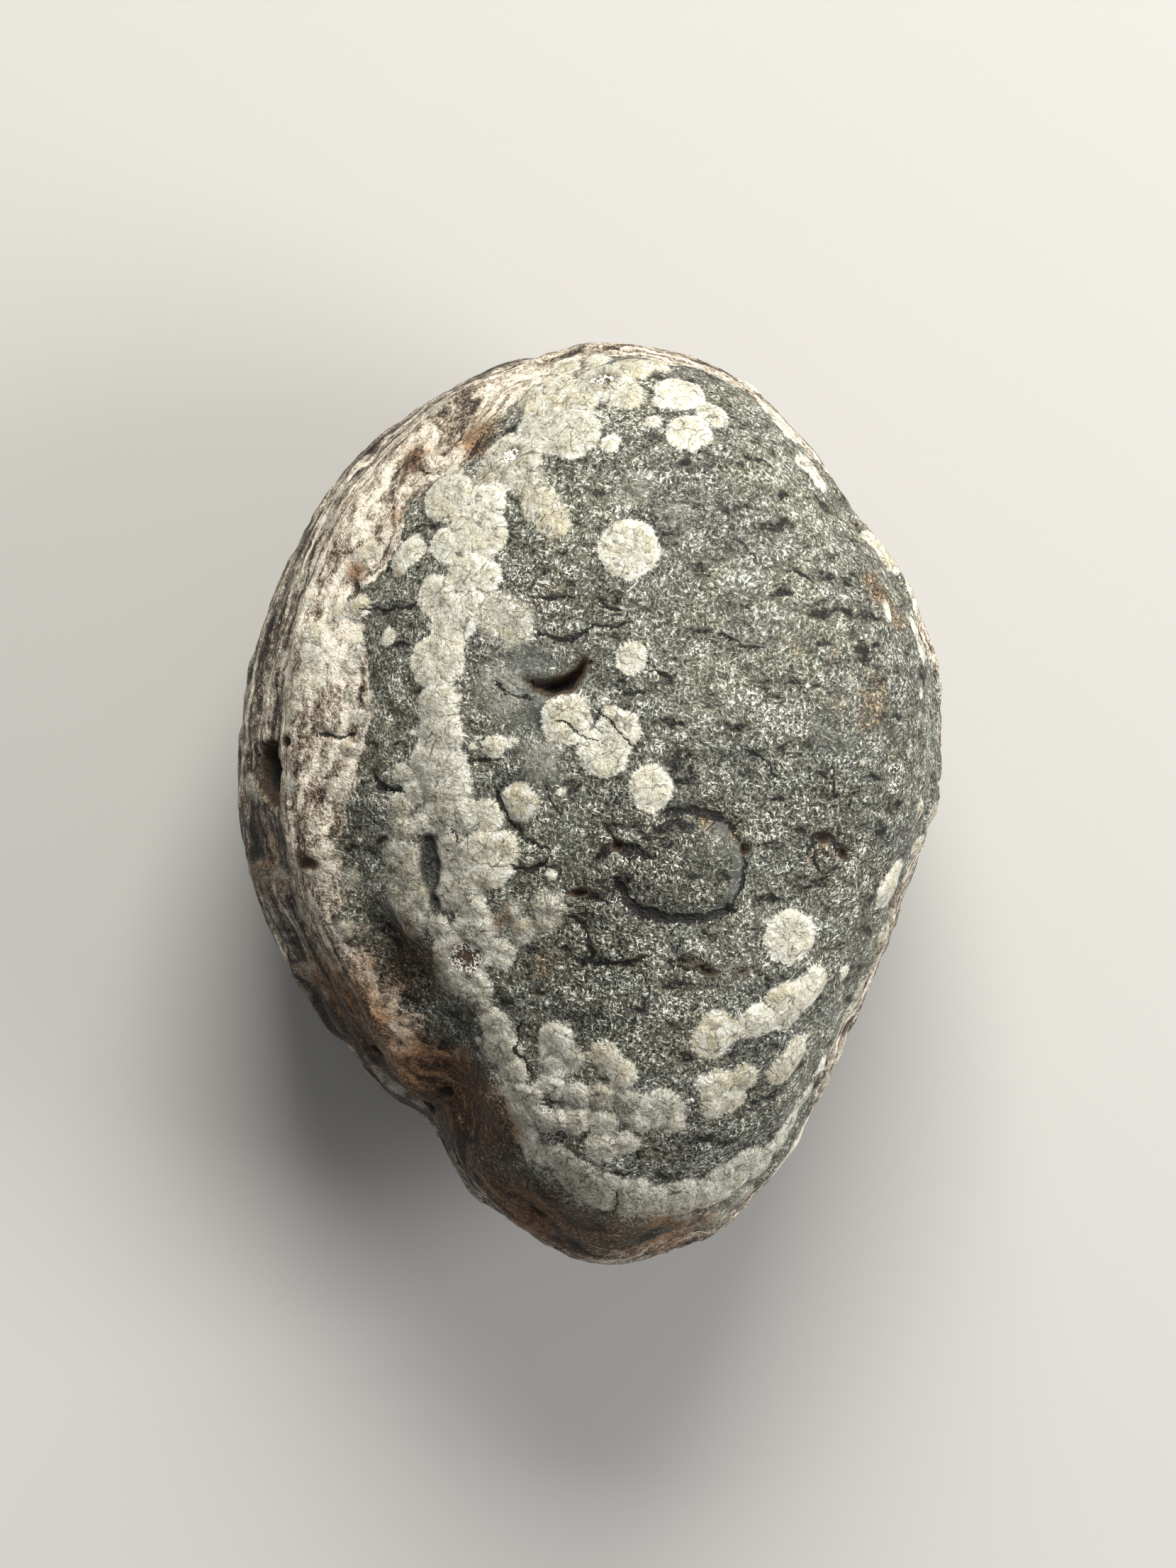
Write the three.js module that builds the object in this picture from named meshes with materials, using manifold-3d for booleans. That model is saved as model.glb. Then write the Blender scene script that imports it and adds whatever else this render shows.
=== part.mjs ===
// A water-worn pebble of snowflake obsidian: one solid stone, lying on its back.
// Millimetres, +Z up. The origin is in the middle of the small flat spot's plane, under the middle of
// the outline. +Y runs from the narrow nose to the broad crown, +X to the steep side.
//
// The stone is a dome above and below its widest contour, the rim. The dome falls steeply at +X and
// gently at -X, where its flow layers crop out as ledges. Swells and hollows lie on the dome, and
// vugs, a crescent pit and cracks are cut into it.
import * as THREE from "three";
import { mergeVertices } from "three/addons/utils/BufferGeometryUtils.js";
import Module from "manifold-3d";

// ---- Driving dimensions ----
const LENGTH = 34.0; // nose to crown
const THICKNESS = 18.0; // flat spot to the top of the front dome
const RIM_HEIGHT = 8.8; // mean height of the rim above the flat spot
const RIM_WAVE = 0.9; // how far the rim rises and falls on its way round
const RIM_WAVE_TOP = 35; // degrees, where the rim is highest
const RIM_LENGTH = 33.92; // nose to crown at the rim; the ledges' edges stand out past it
const BACK_CAP = 0.4; // what the flat spot takes off the back dome
const APEX = [3.0, 1.4]; // the front dome's highest point, off the middle of the outline
const BACK_APEX = [0.2, 0.5]; // the same for the back dome
const BODY_DETAIL = 17; // subdivisions of each icosahedron edge

// The rim's radius as a share of half its length, by degrees from +X.
const OUTLINE = [
  [0, 0.75],
  [20, 0.806],
  [38, 0.846],
  [60, 0.925],
  [70, 0.979],
  [80, 1.001],
  [96, 0.987],
  [120, 0.916],
  [145, 0.828],
  [170, 0.777],
  [195, 0.755],
  [215, 0.743],
  [232, 0.764],
  [245, 0.822],
  [255, 0.9],
  [265, 0.971],
  [274, 1.001],
  [284, 0.976],
  [296, 0.909],
  [308, 0.81],
  [320, 0.748],
  [340, 0.715],
];

// Dips in the rim: [degrees, half-width in degrees, depth in mm].
const RIM_DIPS = [
  [243, 5.5, 0.74],
  [48, 6, 0.48],
];
const DIP_FADE = 5; // power with which a dip dies out towards the middle of a dome

// Dome profiles: share^EDGE + height^ROUND = 1, where EDGE swings round the rim.
const FRONT_EDGE = { mean: 2.6, swing: 0.5, steepest: 15 };
const BACK_EDGE = { mean: 2.3, swing: 0.25, steepest: 140 };
const ROUND = 2.0;

// Flow layers: gently arched sheets, numbered by their depth below the front apex.
const LAYER_TILT = [-0.045, 0.02]; // how much deeper the stone's layers lie per mm along X and Y
const LAYER_ARCH = 0.0085; // how much they fall away towards both ends, per mm squared along Y
const LEDGES = [
  { depth: 5.4, reach: 1.1, rise: 0.2 },
  { depth: 7.1, reach: 0.8, rise: -0.22 },
  { depth: 8.8, reach: 0.9, rise: 0.16 },
  { depth: 10.6, reach: 0.9, rise: -0.2 },
  { depth: 12.5, reach: 1.0, rise: 0.18 },
];

// Swells and hollows: each follows a path of [x, y] points laid on the front (side 1) or the back
// (side -1), with a half-width and a rise in mm, negative for a hollow.
const SWELLS = [
  {
    name: "collar of joined spherulites",
    side: 1,
    reach: 1.5,
    rise: 0.16,
    path: [
      [2.0, 16.0],
      [-0.8, 14.0],
      [-2.8, 12.5],
      [-5.0, 9.8],
      [-4.6, 6.9],
      [-5.4, 4.2],
      [-5.2, 0.9],
      [-3.9, -1.8],
      [-4.5, -5.5],
      [-2.4, -9.5],
      [0.5, -13.2],
      [3.6, -14.6],
      [6.5, -12.9],
    ],
  },
  {
    name: "trough along the dark layer",
    side: 1,
    reach: 1.3,
    rise: -0.28,
    path: [
      [-7.4, 9.2],
      [-8.2, 6.0],
      [-8.4, 2.2],
      [-8.9, -3.0],
      [-7.8, -5.1],
    ],
  },
  {
    name: "valley above the nose",
    side: 1,
    reach: 2.1,
    rise: -0.62,
    path: [
      [-7.6, -5.4],
      [-6.2, -7.3],
      [-5.3, -9.4],
      [-4.7, -11.4],
    ],
  },
  {
    name: "sandy shoulder",
    side: 1,
    reach: 1.3,
    rise: 0.2,
    path: [
      [-8.8, 11.6],
      [-10.2, 6.7],
      [-10.5, 2.0],
      [-10.4, -2.2],
      [-8.4, -7.0],
      [-6.8, -9.2],
    ],
  },
  {
    name: "groove behind the lower flank",
    side: 1,
    reach: 0.9,
    rise: -0.4,
    path: [
      [-11.2, -4.5],
      [-9.5, -7.4],
      [-7.2, -10.2],
      [-5.7, -12.1],
      [-4.3, -14.1],
      [-2.7, -15.6],
    ],
  },
  {
    name: "bulge of the nose",
    side: 1,
    reach: 5.0,
    rise: 0.35,
    path: [
      [0.2, -12.4],
      [1.2, -10.2],
    ],
  },
  { name: "flat on the upper right", side: 1, reach: 4.6, rise: -0.3, path: [[8.6, 10.8]] },
  { name: "dish on the right face", side: 1, reach: 5.0, rise: -0.22, path: [[7.4, -3.4]] },
  { name: "dish over the crescent pit", side: 1, reach: 3.0, rise: -0.2, path: [[-1.4, 6.4]] },
  {
    name: "facet on the back",
    side: -1,
    reach: 6.0,
    rise: -0.7,
    path: [
      [7.4, 3.5],
      [6.2, 9.6],
    ],
  },
  { name: "facet under the nose", side: -1, reach: 5.0, rise: -0.6, path: [[2.8, -12.4]] },
  { name: "hollow behind the crown", side: -1, reach: 3.8, rise: -0.55, path: [[-6.6, 8.4]] },
  {
    name: "ridge across the back",
    side: -1,
    reach: 3.2,
    rise: 0.35,
    path: [
      [-8.8, -5.0],
      [-3.8, -9.5],
    ],
  },
];

// Vugs: open bubbles at [x, y], sized across, along and deep, turned by degrees.
const VUGS = [
  { side: 1, at: [0.6, 15.5], across: 1.0, along: 0.55, deep: 0.45, turn: -10 },
  { side: 1, at: [-2.8, 12.65], across: 0.65, along: 0.45, deep: 0.35, turn: 55 },
  { side: 1, at: [-5.8, -1.92], across: 0.8, along: 1.7, deep: 0.5, turn: 4 },
  { side: 1, at: [-4.3, -5.5], across: 1.2, along: 0.9, deep: 0.5, turn: 20 },
  { side: 1, at: [-1.35, -10.65], across: 1.1, along: 0.8, deep: 0.45, turn: -15 },
  { side: 1, at: [-1.25, -11.95], across: 1.15, along: 0.85, deep: 0.6, turn: 15 },
  { side: 1, at: [-11.85, 1.2], across: 1.6, along: 2.4, deep: 0.9, turn: 0 },
  { side: 1, at: [-10.0, -2.15], across: 0.9, along: 0.6, deep: 0.4, turn: 0 },
  { side: 1, at: [-7.1, -10.25], across: 0.9, along: 0.7, deep: 0.5, turn: -40 },
  { side: 1, at: [9.2, -1.35], across: 0.9, along: 0.6, deep: 0.45, turn: -30 },
  { side: 1, at: [4.3, -5.95], across: 1.0, along: 0.45, deep: 0.4, turn: -35 },
  { side: -1, at: [-5.0, 6.5], across: 1.7, along: 1.0, deep: 0.7, turn: 30 },
  { side: -1, at: [5.5, -8.0], across: 1.2, along: 0.8, deep: 0.5, turn: 70 },
  { side: -1, at: [8.6, 6.4], across: 1.0, along: 0.8, deep: 0.5, turn: 10 },
];
const VUG_DETAIL = 2;

// The crescent pit: a bubble broken open under a curved lip that still covers its upper half.
const CRESCENT = { at: [-1.3, 5.2], radius: 1.35, deep: 1.1, lip_radius: 1.5, lip_shift: [-0.1, 1.3] };

// Cracks: V-shaped cuts along [x, y] points on the front, with a mouth and a depth in mm.
const CRACKS = [
  {
    name: "lower arc of the percussion ring",
    mouth: 0.3,
    deep: 0.25,
    path: arcPath([3.7, -2.3], 2.1, 205, 325, 9),
  },
  {
    name: "right arc of the percussion ring",
    mouth: 0.26,
    deep: 0.18,
    path: arcPath([3.7, -2.3], 2.15, -20, 75, 7),
  },
  {
    name: "crack beside the single spherulite",
    mouth: 0.26,
    deep: 0.25,
    path: [
      [-3.3, 0.4],
      [-2.9, -0.5],
      [-2.3, -1.2],
      [-1.6, -1.5],
    ],
  },
];

// ---- The body ----

// Points on an arc about a centre, from one angle to another, in degrees.
function arcPath(centre, radius, from, to, count) {
  return Array.from({ length: count }, (_, i) => {
    const angle = THREE.MathUtils.degToRad(from + ((to - from) * i) / (count - 1));
    return [centre[0] + radius * Math.cos(angle), centre[1] + radius * Math.sin(angle)];
  });
}

// The smallest turn from one angle to another, in degrees from -180 to 180.
function turnBetween(from, to) {
  return THREE.MathUtils.euclideanModulo(to - from + 180, 360) - 180;
}

// A closed curve of value by degrees: cubic pieces that share their slopes at the knots.
function smoothLoop(knots) {
  const count = knots.length;
  const knot = (i) => {
    const lap = Math.floor(i / count);
    const [degrees, value] = knots[i - lap * count];
    return [degrees + lap * 360, value];
  };
  const slope = (i) => (knot(i + 1)[1] - knot(i - 1)[1]) / (knot(i + 1)[0] - knot(i - 1)[0]);
  return (degrees) => {
    const angle = THREE.MathUtils.euclideanModulo(degrees, 360);
    let i = count - 1;
    while (knot(i)[0] > angle) i -= 1;
    const span = knot(i + 1)[0] - knot(i)[0];
    const t = (angle - knot(i)[0]) / span;
    const start = knot(i)[1] * (1 + 2 * t) * (1 - t) ** 2 + slope(i) * span * t * (1 - t) ** 2;
    const end = knot(i + 1)[1] * t * t * (3 - 2 * t) - slope(i + 1) * span * t * t * (1 - t);
    return start + end;
  };
}

const outline = smoothLoop(OUTLINE);

// A bump of height 1 that falls smoothly to 0 at a distance of 1 on either side.
function bump(distance) {
  return (1 - Math.min(1, distance * distance)) ** 2;
}

function cosDegrees(degrees) {
  return Math.cos(THREE.MathUtils.degToRad(degrees));
}

// Below 0 inside the body, 0 on it and above 0 outside, before the flat spot is cut.
function bodyField(x, y, z) {
  const around = THREE.MathUtils.radToDeg(Math.atan2(y, x));
  const rim = RIM_HEIGHT + RIM_WAVE * cosDegrees(around - RIM_WAVE_TOP) * Math.min(1, Math.hypot(x, y) / 6);
  const front = z > rim;
  const height = front ? (z - rim) / (THICKNESS - rim) : (rim - z) / (rim + BACK_CAP);
  const apex = front ? APEX : BACK_APEX;
  const edge = front ? FRONT_EDGE : BACK_EDGE;
  const shift = Math.min(height, 1) ** 2;
  const u = x - apex[0] * shift;
  const v = y - apex[1] * shift;
  const degrees = THREE.MathUtils.radToDeg(Math.atan2(v, u));
  const plain = outline(degrees) * (RIM_LENGTH / 2);
  const share = Math.hypot(u, v) / plain;
  const dips = RIM_DIPS.reduce((sum, [at, width, depth]) => {
    return sum + depth * Math.exp(-((turnBetween(at, degrees) / width) ** 2));
  }, 0);
  const dipped = (share * plain) / (plain - dips * Math.min(share, 1) ** DIP_FADE);
  const power = edge.mean + edge.swing * cosDegrees(degrees - edge.steepest);
  return dipped ** power + height ** ROUND - 1;
}

const CORE = new THREE.Vector3(0, 0, RIM_HEIGHT); // every ray from here leaves the body once

// Where a line from start along direction leaves the body.
function leaveBody(start, direction) {
  let near = 0;
  let far = LENGTH;
  for (let i = 0; i < 40; i += 1) {
    const middle = (near + far) / 2;
    const p = start.clone().addScaledVector(direction, middle);
    if (bodyField(p.x, p.y, p.z) < 0) near = middle;
    else far = middle;
  }
  return start.clone().addScaledVector(direction, near);
}

// The body's point above (side 1) or below (side -1) a point of the outline's plane.
function onSide([x, y], side) {
  return leaveBody(new THREE.Vector3(x, y, RIM_HEIGHT), new THREE.Vector3(0, 0, side));
}

// The body's outward direction at a point on it, from the field's slope.
function outward(p) {
  const step = 0.05;
  const slope = (dx, dy, dz) =>
    bodyField(p.x + dx, p.y + dy, p.z + dz) - bodyField(p.x - dx, p.y - dy, p.z - dz);
  return new THREE.Vector3(slope(step, 0, 0), slope(0, step, 0), slope(0, 0, step)).normalize();
}

// ---- Swells, hollows and ledges ----

const laidSwells = SWELLS.map((swell) => ({
  ...swell,
  points: swell.path.map((point) => onSide(point, swell.side)),
}));

function distanceToPath(p, points) {
  if (points.length === 1) return p.distanceTo(points[0]);
  const nearest = new THREE.Vector3();
  return Math.min(
    ...points.slice(1).map((end, i) => {
      new THREE.Line3(points[i], end).closestPointToPoint(p, true, nearest);
      return p.distanceTo(nearest);
    }),
  );
}

// How deep a point lies in the pile of flow layers, below the front apex.
function layerDepth(p) {
  const along = p.y - APEX[1];
  const lean = LAYER_TILT[0] * (p.x - APEX[0]) + LAYER_TILT[1] * along;
  return THICKNESS - p.z + lean - LAYER_ARCH * along ** 2;
}

// How far the surface stands out from the plain body at a point on it.
function relief(p) {
  const swells = laidSwells.reduce((sum, swell) => {
    return sum + swell.rise * bump(distanceToPath(p, swell.points) / swell.reach);
  }, 0);
  const ledges = LEDGES.reduce((sum, ledge) => {
    return sum + ledge.rise * bump((layerDepth(p) - ledge.depth) / ledge.reach);
  }, 0);
  return (swells + ledges) * THREE.MathUtils.smoothstep(p.z, 0, 1);
}

// The body's surface along a ray from the core, with its relief, cut off flat where it rests.
function surfacePoint(direction) {
  const plain = leaveBody(CORE, direction);
  const reach = plain.distanceTo(CORE) + relief(plain);
  const floor = direction.z < 0 ? RIM_HEIGHT / -direction.z : Infinity;
  const p = CORE.clone().addScaledVector(direction, Math.min(reach, floor));
  if (reach >= floor) p.z = 0;
  return p;
}

function makeBody() {
  const geometry = closedGeometry(new THREE.IcosahedronGeometry(1, BODY_DETAIL));
  const stretch = new THREE.Vector3(0.8, 1, 0.62); // spreads the facets evenly over a flattened stone
  const positions = geometry.getAttribute("position");
  const direction = new THREE.Vector3();
  for (let i = 0; i < positions.count; i += 1) {
    direction.fromBufferAttribute(positions, i).multiply(stretch).normalize();
    const p = surfacePoint(direction);
    positions.setXYZ(i, p.x, p.y, p.z);
  }
  return geometry;
}

// ---- Vugs, the crescent pit and cracks: solids that are cut out of the body ----

// A geometry with only its positions, and with its shared vertices merged.
function closedGeometry(geometry) {
  geometry.deleteAttribute("normal");
  geometry.deleteAttribute("uv");
  return mergeVertices(geometry, 1e-4);
}

// The relief's shift of a point on the plain body, applied outwards.
function onSurface(point, side) {
  const plain = onSide(point, side);
  const direction = plain.clone().sub(CORE).normalize();
  return plain.addScaledVector(direction, relief(plain));
}

// Axes at a surface point: x and y lie along the surface, turned by degrees, and z points out.
function surfaceFrame(point, side, turn) {
  const origin = onSurface(point, side);
  const up = outward(onSide(point, side));
  const along = new THREE.Vector3(0, 1, 0).projectOnPlane(up).normalize();
  along.applyAxisAngle(up, THREE.MathUtils.degToRad(turn));
  const across = new THREE.Vector3().crossVectors(along, up);
  return new THREE.Matrix4().makeBasis(across, along, up).setPosition(origin);
}

function makeVug({ side, at, across, along, deep, turn }) {
  const geometry = closedGeometry(new THREE.IcosahedronGeometry(1, VUG_DETAIL));
  geometry.scale(across / 2, along / 2, deep);
  return geometry.applyMatrix4(surfaceFrame(at, side, turn));
}

function makeCrescentParts({ at, radius, deep, lip_radius, lip_shift }) {
  const frame = surfaceFrame(at, 1, 0);
  const hollow = closedGeometry(new THREE.IcosahedronGeometry(1, 4)).scale(radius, radius, deep);
  const lip = closedGeometry(new THREE.CylinderGeometry(lip_radius, lip_radius * 0.8, 4, 24));
  lip.rotateX(Math.PI / 2).translate(lip_shift[0], lip_shift[1], 0);
  return [hollow.applyMatrix4(frame), lip.applyMatrix4(frame)];
}

function makeCrack({ mouth, deep, path }) {
  const proud = 0.15; // the cut's mouth stands this far above the surface
  const points = path.map((point) => onSurface(point, 1));
  const section = new THREE.Shape([
    new THREE.Vector2(-proud, -mouth / 2),
    new THREE.Vector2(deep, 0),
    new THREE.Vector2(-proud, mouth / 2),
  ]);
  const curve = new THREE.CatmullRomCurve3(points);
  const steps = 2 * (path.length - 1);
  const geometry = new THREE.ExtrudeGeometry(section, { steps, extrudePath: curve });
  return closedGeometry(geometry);
}

// ---- Booleans ----

const wasm = await Module();
wasm.setup();

function toSolid(geometry) {
  const mesh = new wasm.Mesh({
    numProp: 3,
    vertProperties: new Float32Array(geometry.getAttribute("position").array),
    triVerts: new Uint32Array(geometry.index.array),
  });
  return new wasm.Manifold(mesh);
}

function toGeometry(solid) {
  const mesh = solid.getMesh();
  const geometry = new THREE.BufferGeometry();
  geometry.setAttribute("position", new THREE.BufferAttribute(mesh.vertProperties, 3));
  geometry.setIndex(new THREE.BufferAttribute(mesh.triVerts, 1));
  geometry.computeVertexNormals();
  return geometry;
}

// Slides a geometry along X and Y until its outline's middle is over the origin.
function overOrigin(geometry) {
  geometry.computeBoundingBox();
  const middle = geometry.boundingBox.getCenter(new THREE.Vector3());
  return geometry.translate(-middle.x, -middle.y, 0);
}

function makeStone() {
  let stone = toSolid(makeBody());
  for (const vug of VUGS) stone = stone.subtract(toSolid(makeVug(vug)));
  const [hollow, lip] = makeCrescentParts(CRESCENT).map(toSolid);
  stone = stone.subtract(hollow.subtract(lip));
  for (const crack of CRACKS) stone = stone.subtract(toSolid(makeCrack(crack)));
  return overOrigin(toGeometry(stone));
}

// ---- The part ----

const obsidian = new THREE.MeshStandardMaterial({ color: 0x5c5e5a, roughness: 0.55, metalness: 0 });

const part = new THREE.Group();
const stone = new THREE.Mesh(makeStone(), obsidian);
stone.name = "stone";
part.add(stone);

export default part;
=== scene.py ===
"""Dresses the snowflake obsidian pebble: its worn surface, its spherulites and flow layers, and its light.

The stone is one closed surface. It is worked out in millimetres, from the same driving dimensions as the
solid that it stands for, and put into its mesh in metres.
"""

import logging
import math
from dataclasses import dataclass, field
from enum import Enum
from functools import partial, reduce

import bpy
import numpy as np
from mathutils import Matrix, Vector


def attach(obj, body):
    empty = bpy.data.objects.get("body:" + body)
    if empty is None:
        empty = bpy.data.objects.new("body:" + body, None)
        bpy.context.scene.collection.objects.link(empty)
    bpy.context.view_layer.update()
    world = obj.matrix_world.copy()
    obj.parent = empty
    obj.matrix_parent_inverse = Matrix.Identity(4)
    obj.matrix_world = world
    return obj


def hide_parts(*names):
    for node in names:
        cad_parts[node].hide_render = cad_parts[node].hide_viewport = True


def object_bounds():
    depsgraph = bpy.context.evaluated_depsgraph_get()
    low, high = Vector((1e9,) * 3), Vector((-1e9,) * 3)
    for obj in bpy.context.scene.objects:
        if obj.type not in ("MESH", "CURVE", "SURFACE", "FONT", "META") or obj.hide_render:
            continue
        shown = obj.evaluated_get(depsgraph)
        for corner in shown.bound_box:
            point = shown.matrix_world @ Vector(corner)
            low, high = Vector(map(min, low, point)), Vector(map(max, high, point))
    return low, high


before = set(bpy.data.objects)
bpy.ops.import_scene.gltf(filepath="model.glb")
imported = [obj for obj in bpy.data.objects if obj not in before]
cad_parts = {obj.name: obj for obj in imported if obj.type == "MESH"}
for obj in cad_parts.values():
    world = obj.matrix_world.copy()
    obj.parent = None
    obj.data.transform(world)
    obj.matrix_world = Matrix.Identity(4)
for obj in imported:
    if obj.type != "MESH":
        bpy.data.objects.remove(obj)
CAD_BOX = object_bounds()

MM = 0.001  # sizes below are in millimetres, and Blender's are in metres
FAR = 9.0  # stands for a distance past all that matter
LOG = logging.getLogger("pebble")

Point = tuple[float, float]
Array = np.ndarray


def cos_degrees(degrees: Array | float) -> Array | float:
    """Cosine of an angle in degrees."""
    return np.cos(np.radians(degrees))


def ramp(value: Array, low: float, high: float) -> Array:
    """Rises smoothly from 0 at low to 1 at high, by 3t^2 - 2t^3 of the share t of the way."""
    t = np.clip((value - low) / (high - low), 0.0, 1.0)
    return t * t * (3.0 - 2.0 * t)


def bump(distance: Array) -> Array:
    """Falls smoothly from 1 at a distance of 0 to 0 at 1, by (1 - d^2)^2."""
    return (1.0 - np.minimum(1.0, distance * distance)) ** 2


def unit(vectors: Array) -> Array:
    """Vectors of length 1 along the given ones."""
    return vectors / np.maximum(np.linalg.norm(vectors, axis=-1, keepdims=True), 1e-12)


class Rough:
    """Random fields of space: smooth noise on a cubic lattice, the same on every run."""

    @staticmethod
    def _corner(cell: Array, seed: int) -> Array:
        """A number for each lattice corner, hashed from its whole coordinates.

        Args:
            cell: the corners, one a row.
            seed: chooses the field.

        Returns:
            Numbers from -1 to 1.
        """
        mixed = cell[:, 0] * 73856093 ^ cell[:, 1] * 19349663 ^ cell[:, 2] * 83492791 ^ seed * 26544357
        mixed = mixed & 0xFFFFFFFF
        mixed = ((mixed ^ (mixed >> 15)) * 0x2C1B3C6D) & 0xFFFFFFFF
        mixed = ((mixed ^ (mixed >> 12)) * 0x297A2D39) & 0xFFFFFFFF
        return (mixed ^ (mixed >> 15)) / 2.0**31 - 1.0

    @staticmethod
    def at(points: Array, size: float, seed: int) -> Array:
        """Noise whose lumps are about one size across.

        The eight corner values of a point's lattice cell are blended by the smooth share
        6t^5 - 15t^4 + 10t^3 along each axis.

        Args:
            points: places.
            size: the lattice spacing.
            seed: chooses the field.

        Returns:
            One number from -1 to 1 for each point.
        """
        scaled = points / size
        cell = np.floor(scaled).astype(np.int64)
        t = scaled - cell
        t = t * t * t * (t * (t * 6.0 - 15.0) + 10.0)
        total = np.zeros(len(points))
        for corner in np.ndindex(2, 2, 2):
            step = np.array(corner)
            weight = np.prod(np.where(step == 1, t, 1.0 - t), axis=1)
            total += weight * Rough._corner(cell + step, seed)
        return total

    @staticmethod
    def layered(points: Array, size: float, octaves: int, seed: int) -> Array:
        """Sums octaves of noise, each half as large and half as strong as the one before."""
        return sum(Rough.at(points, size / 2**i, seed + i) / 2**i for i in range(octaves))


class Side(Enum):
    """The face of the stone that a feature lies on."""

    FRONT = 1
    BACK = -1


@dataclass(frozen=True)
class Dome:
    """One half of the body: share^edge + height^round = 1, where edge swings round the rim."""

    apex: Point
    edge_mean: float
    edge_swing: float
    steepest: float


@dataclass(frozen=True)
class Swell:
    """A smooth rise or hollow along a path on one face."""

    path: tuple[Point, ...]
    reach: float
    rise: float
    side: Side = Side.FRONT


@dataclass(frozen=True)
class Ledge:
    """A flow layer that stands out or lies back all round the stone."""

    depth: float
    reach: float
    rise: float


@dataclass(frozen=True)
class RimDip:
    """A place where the rim draws in."""

    degrees: float
    half_width: float
    depth: float


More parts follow.
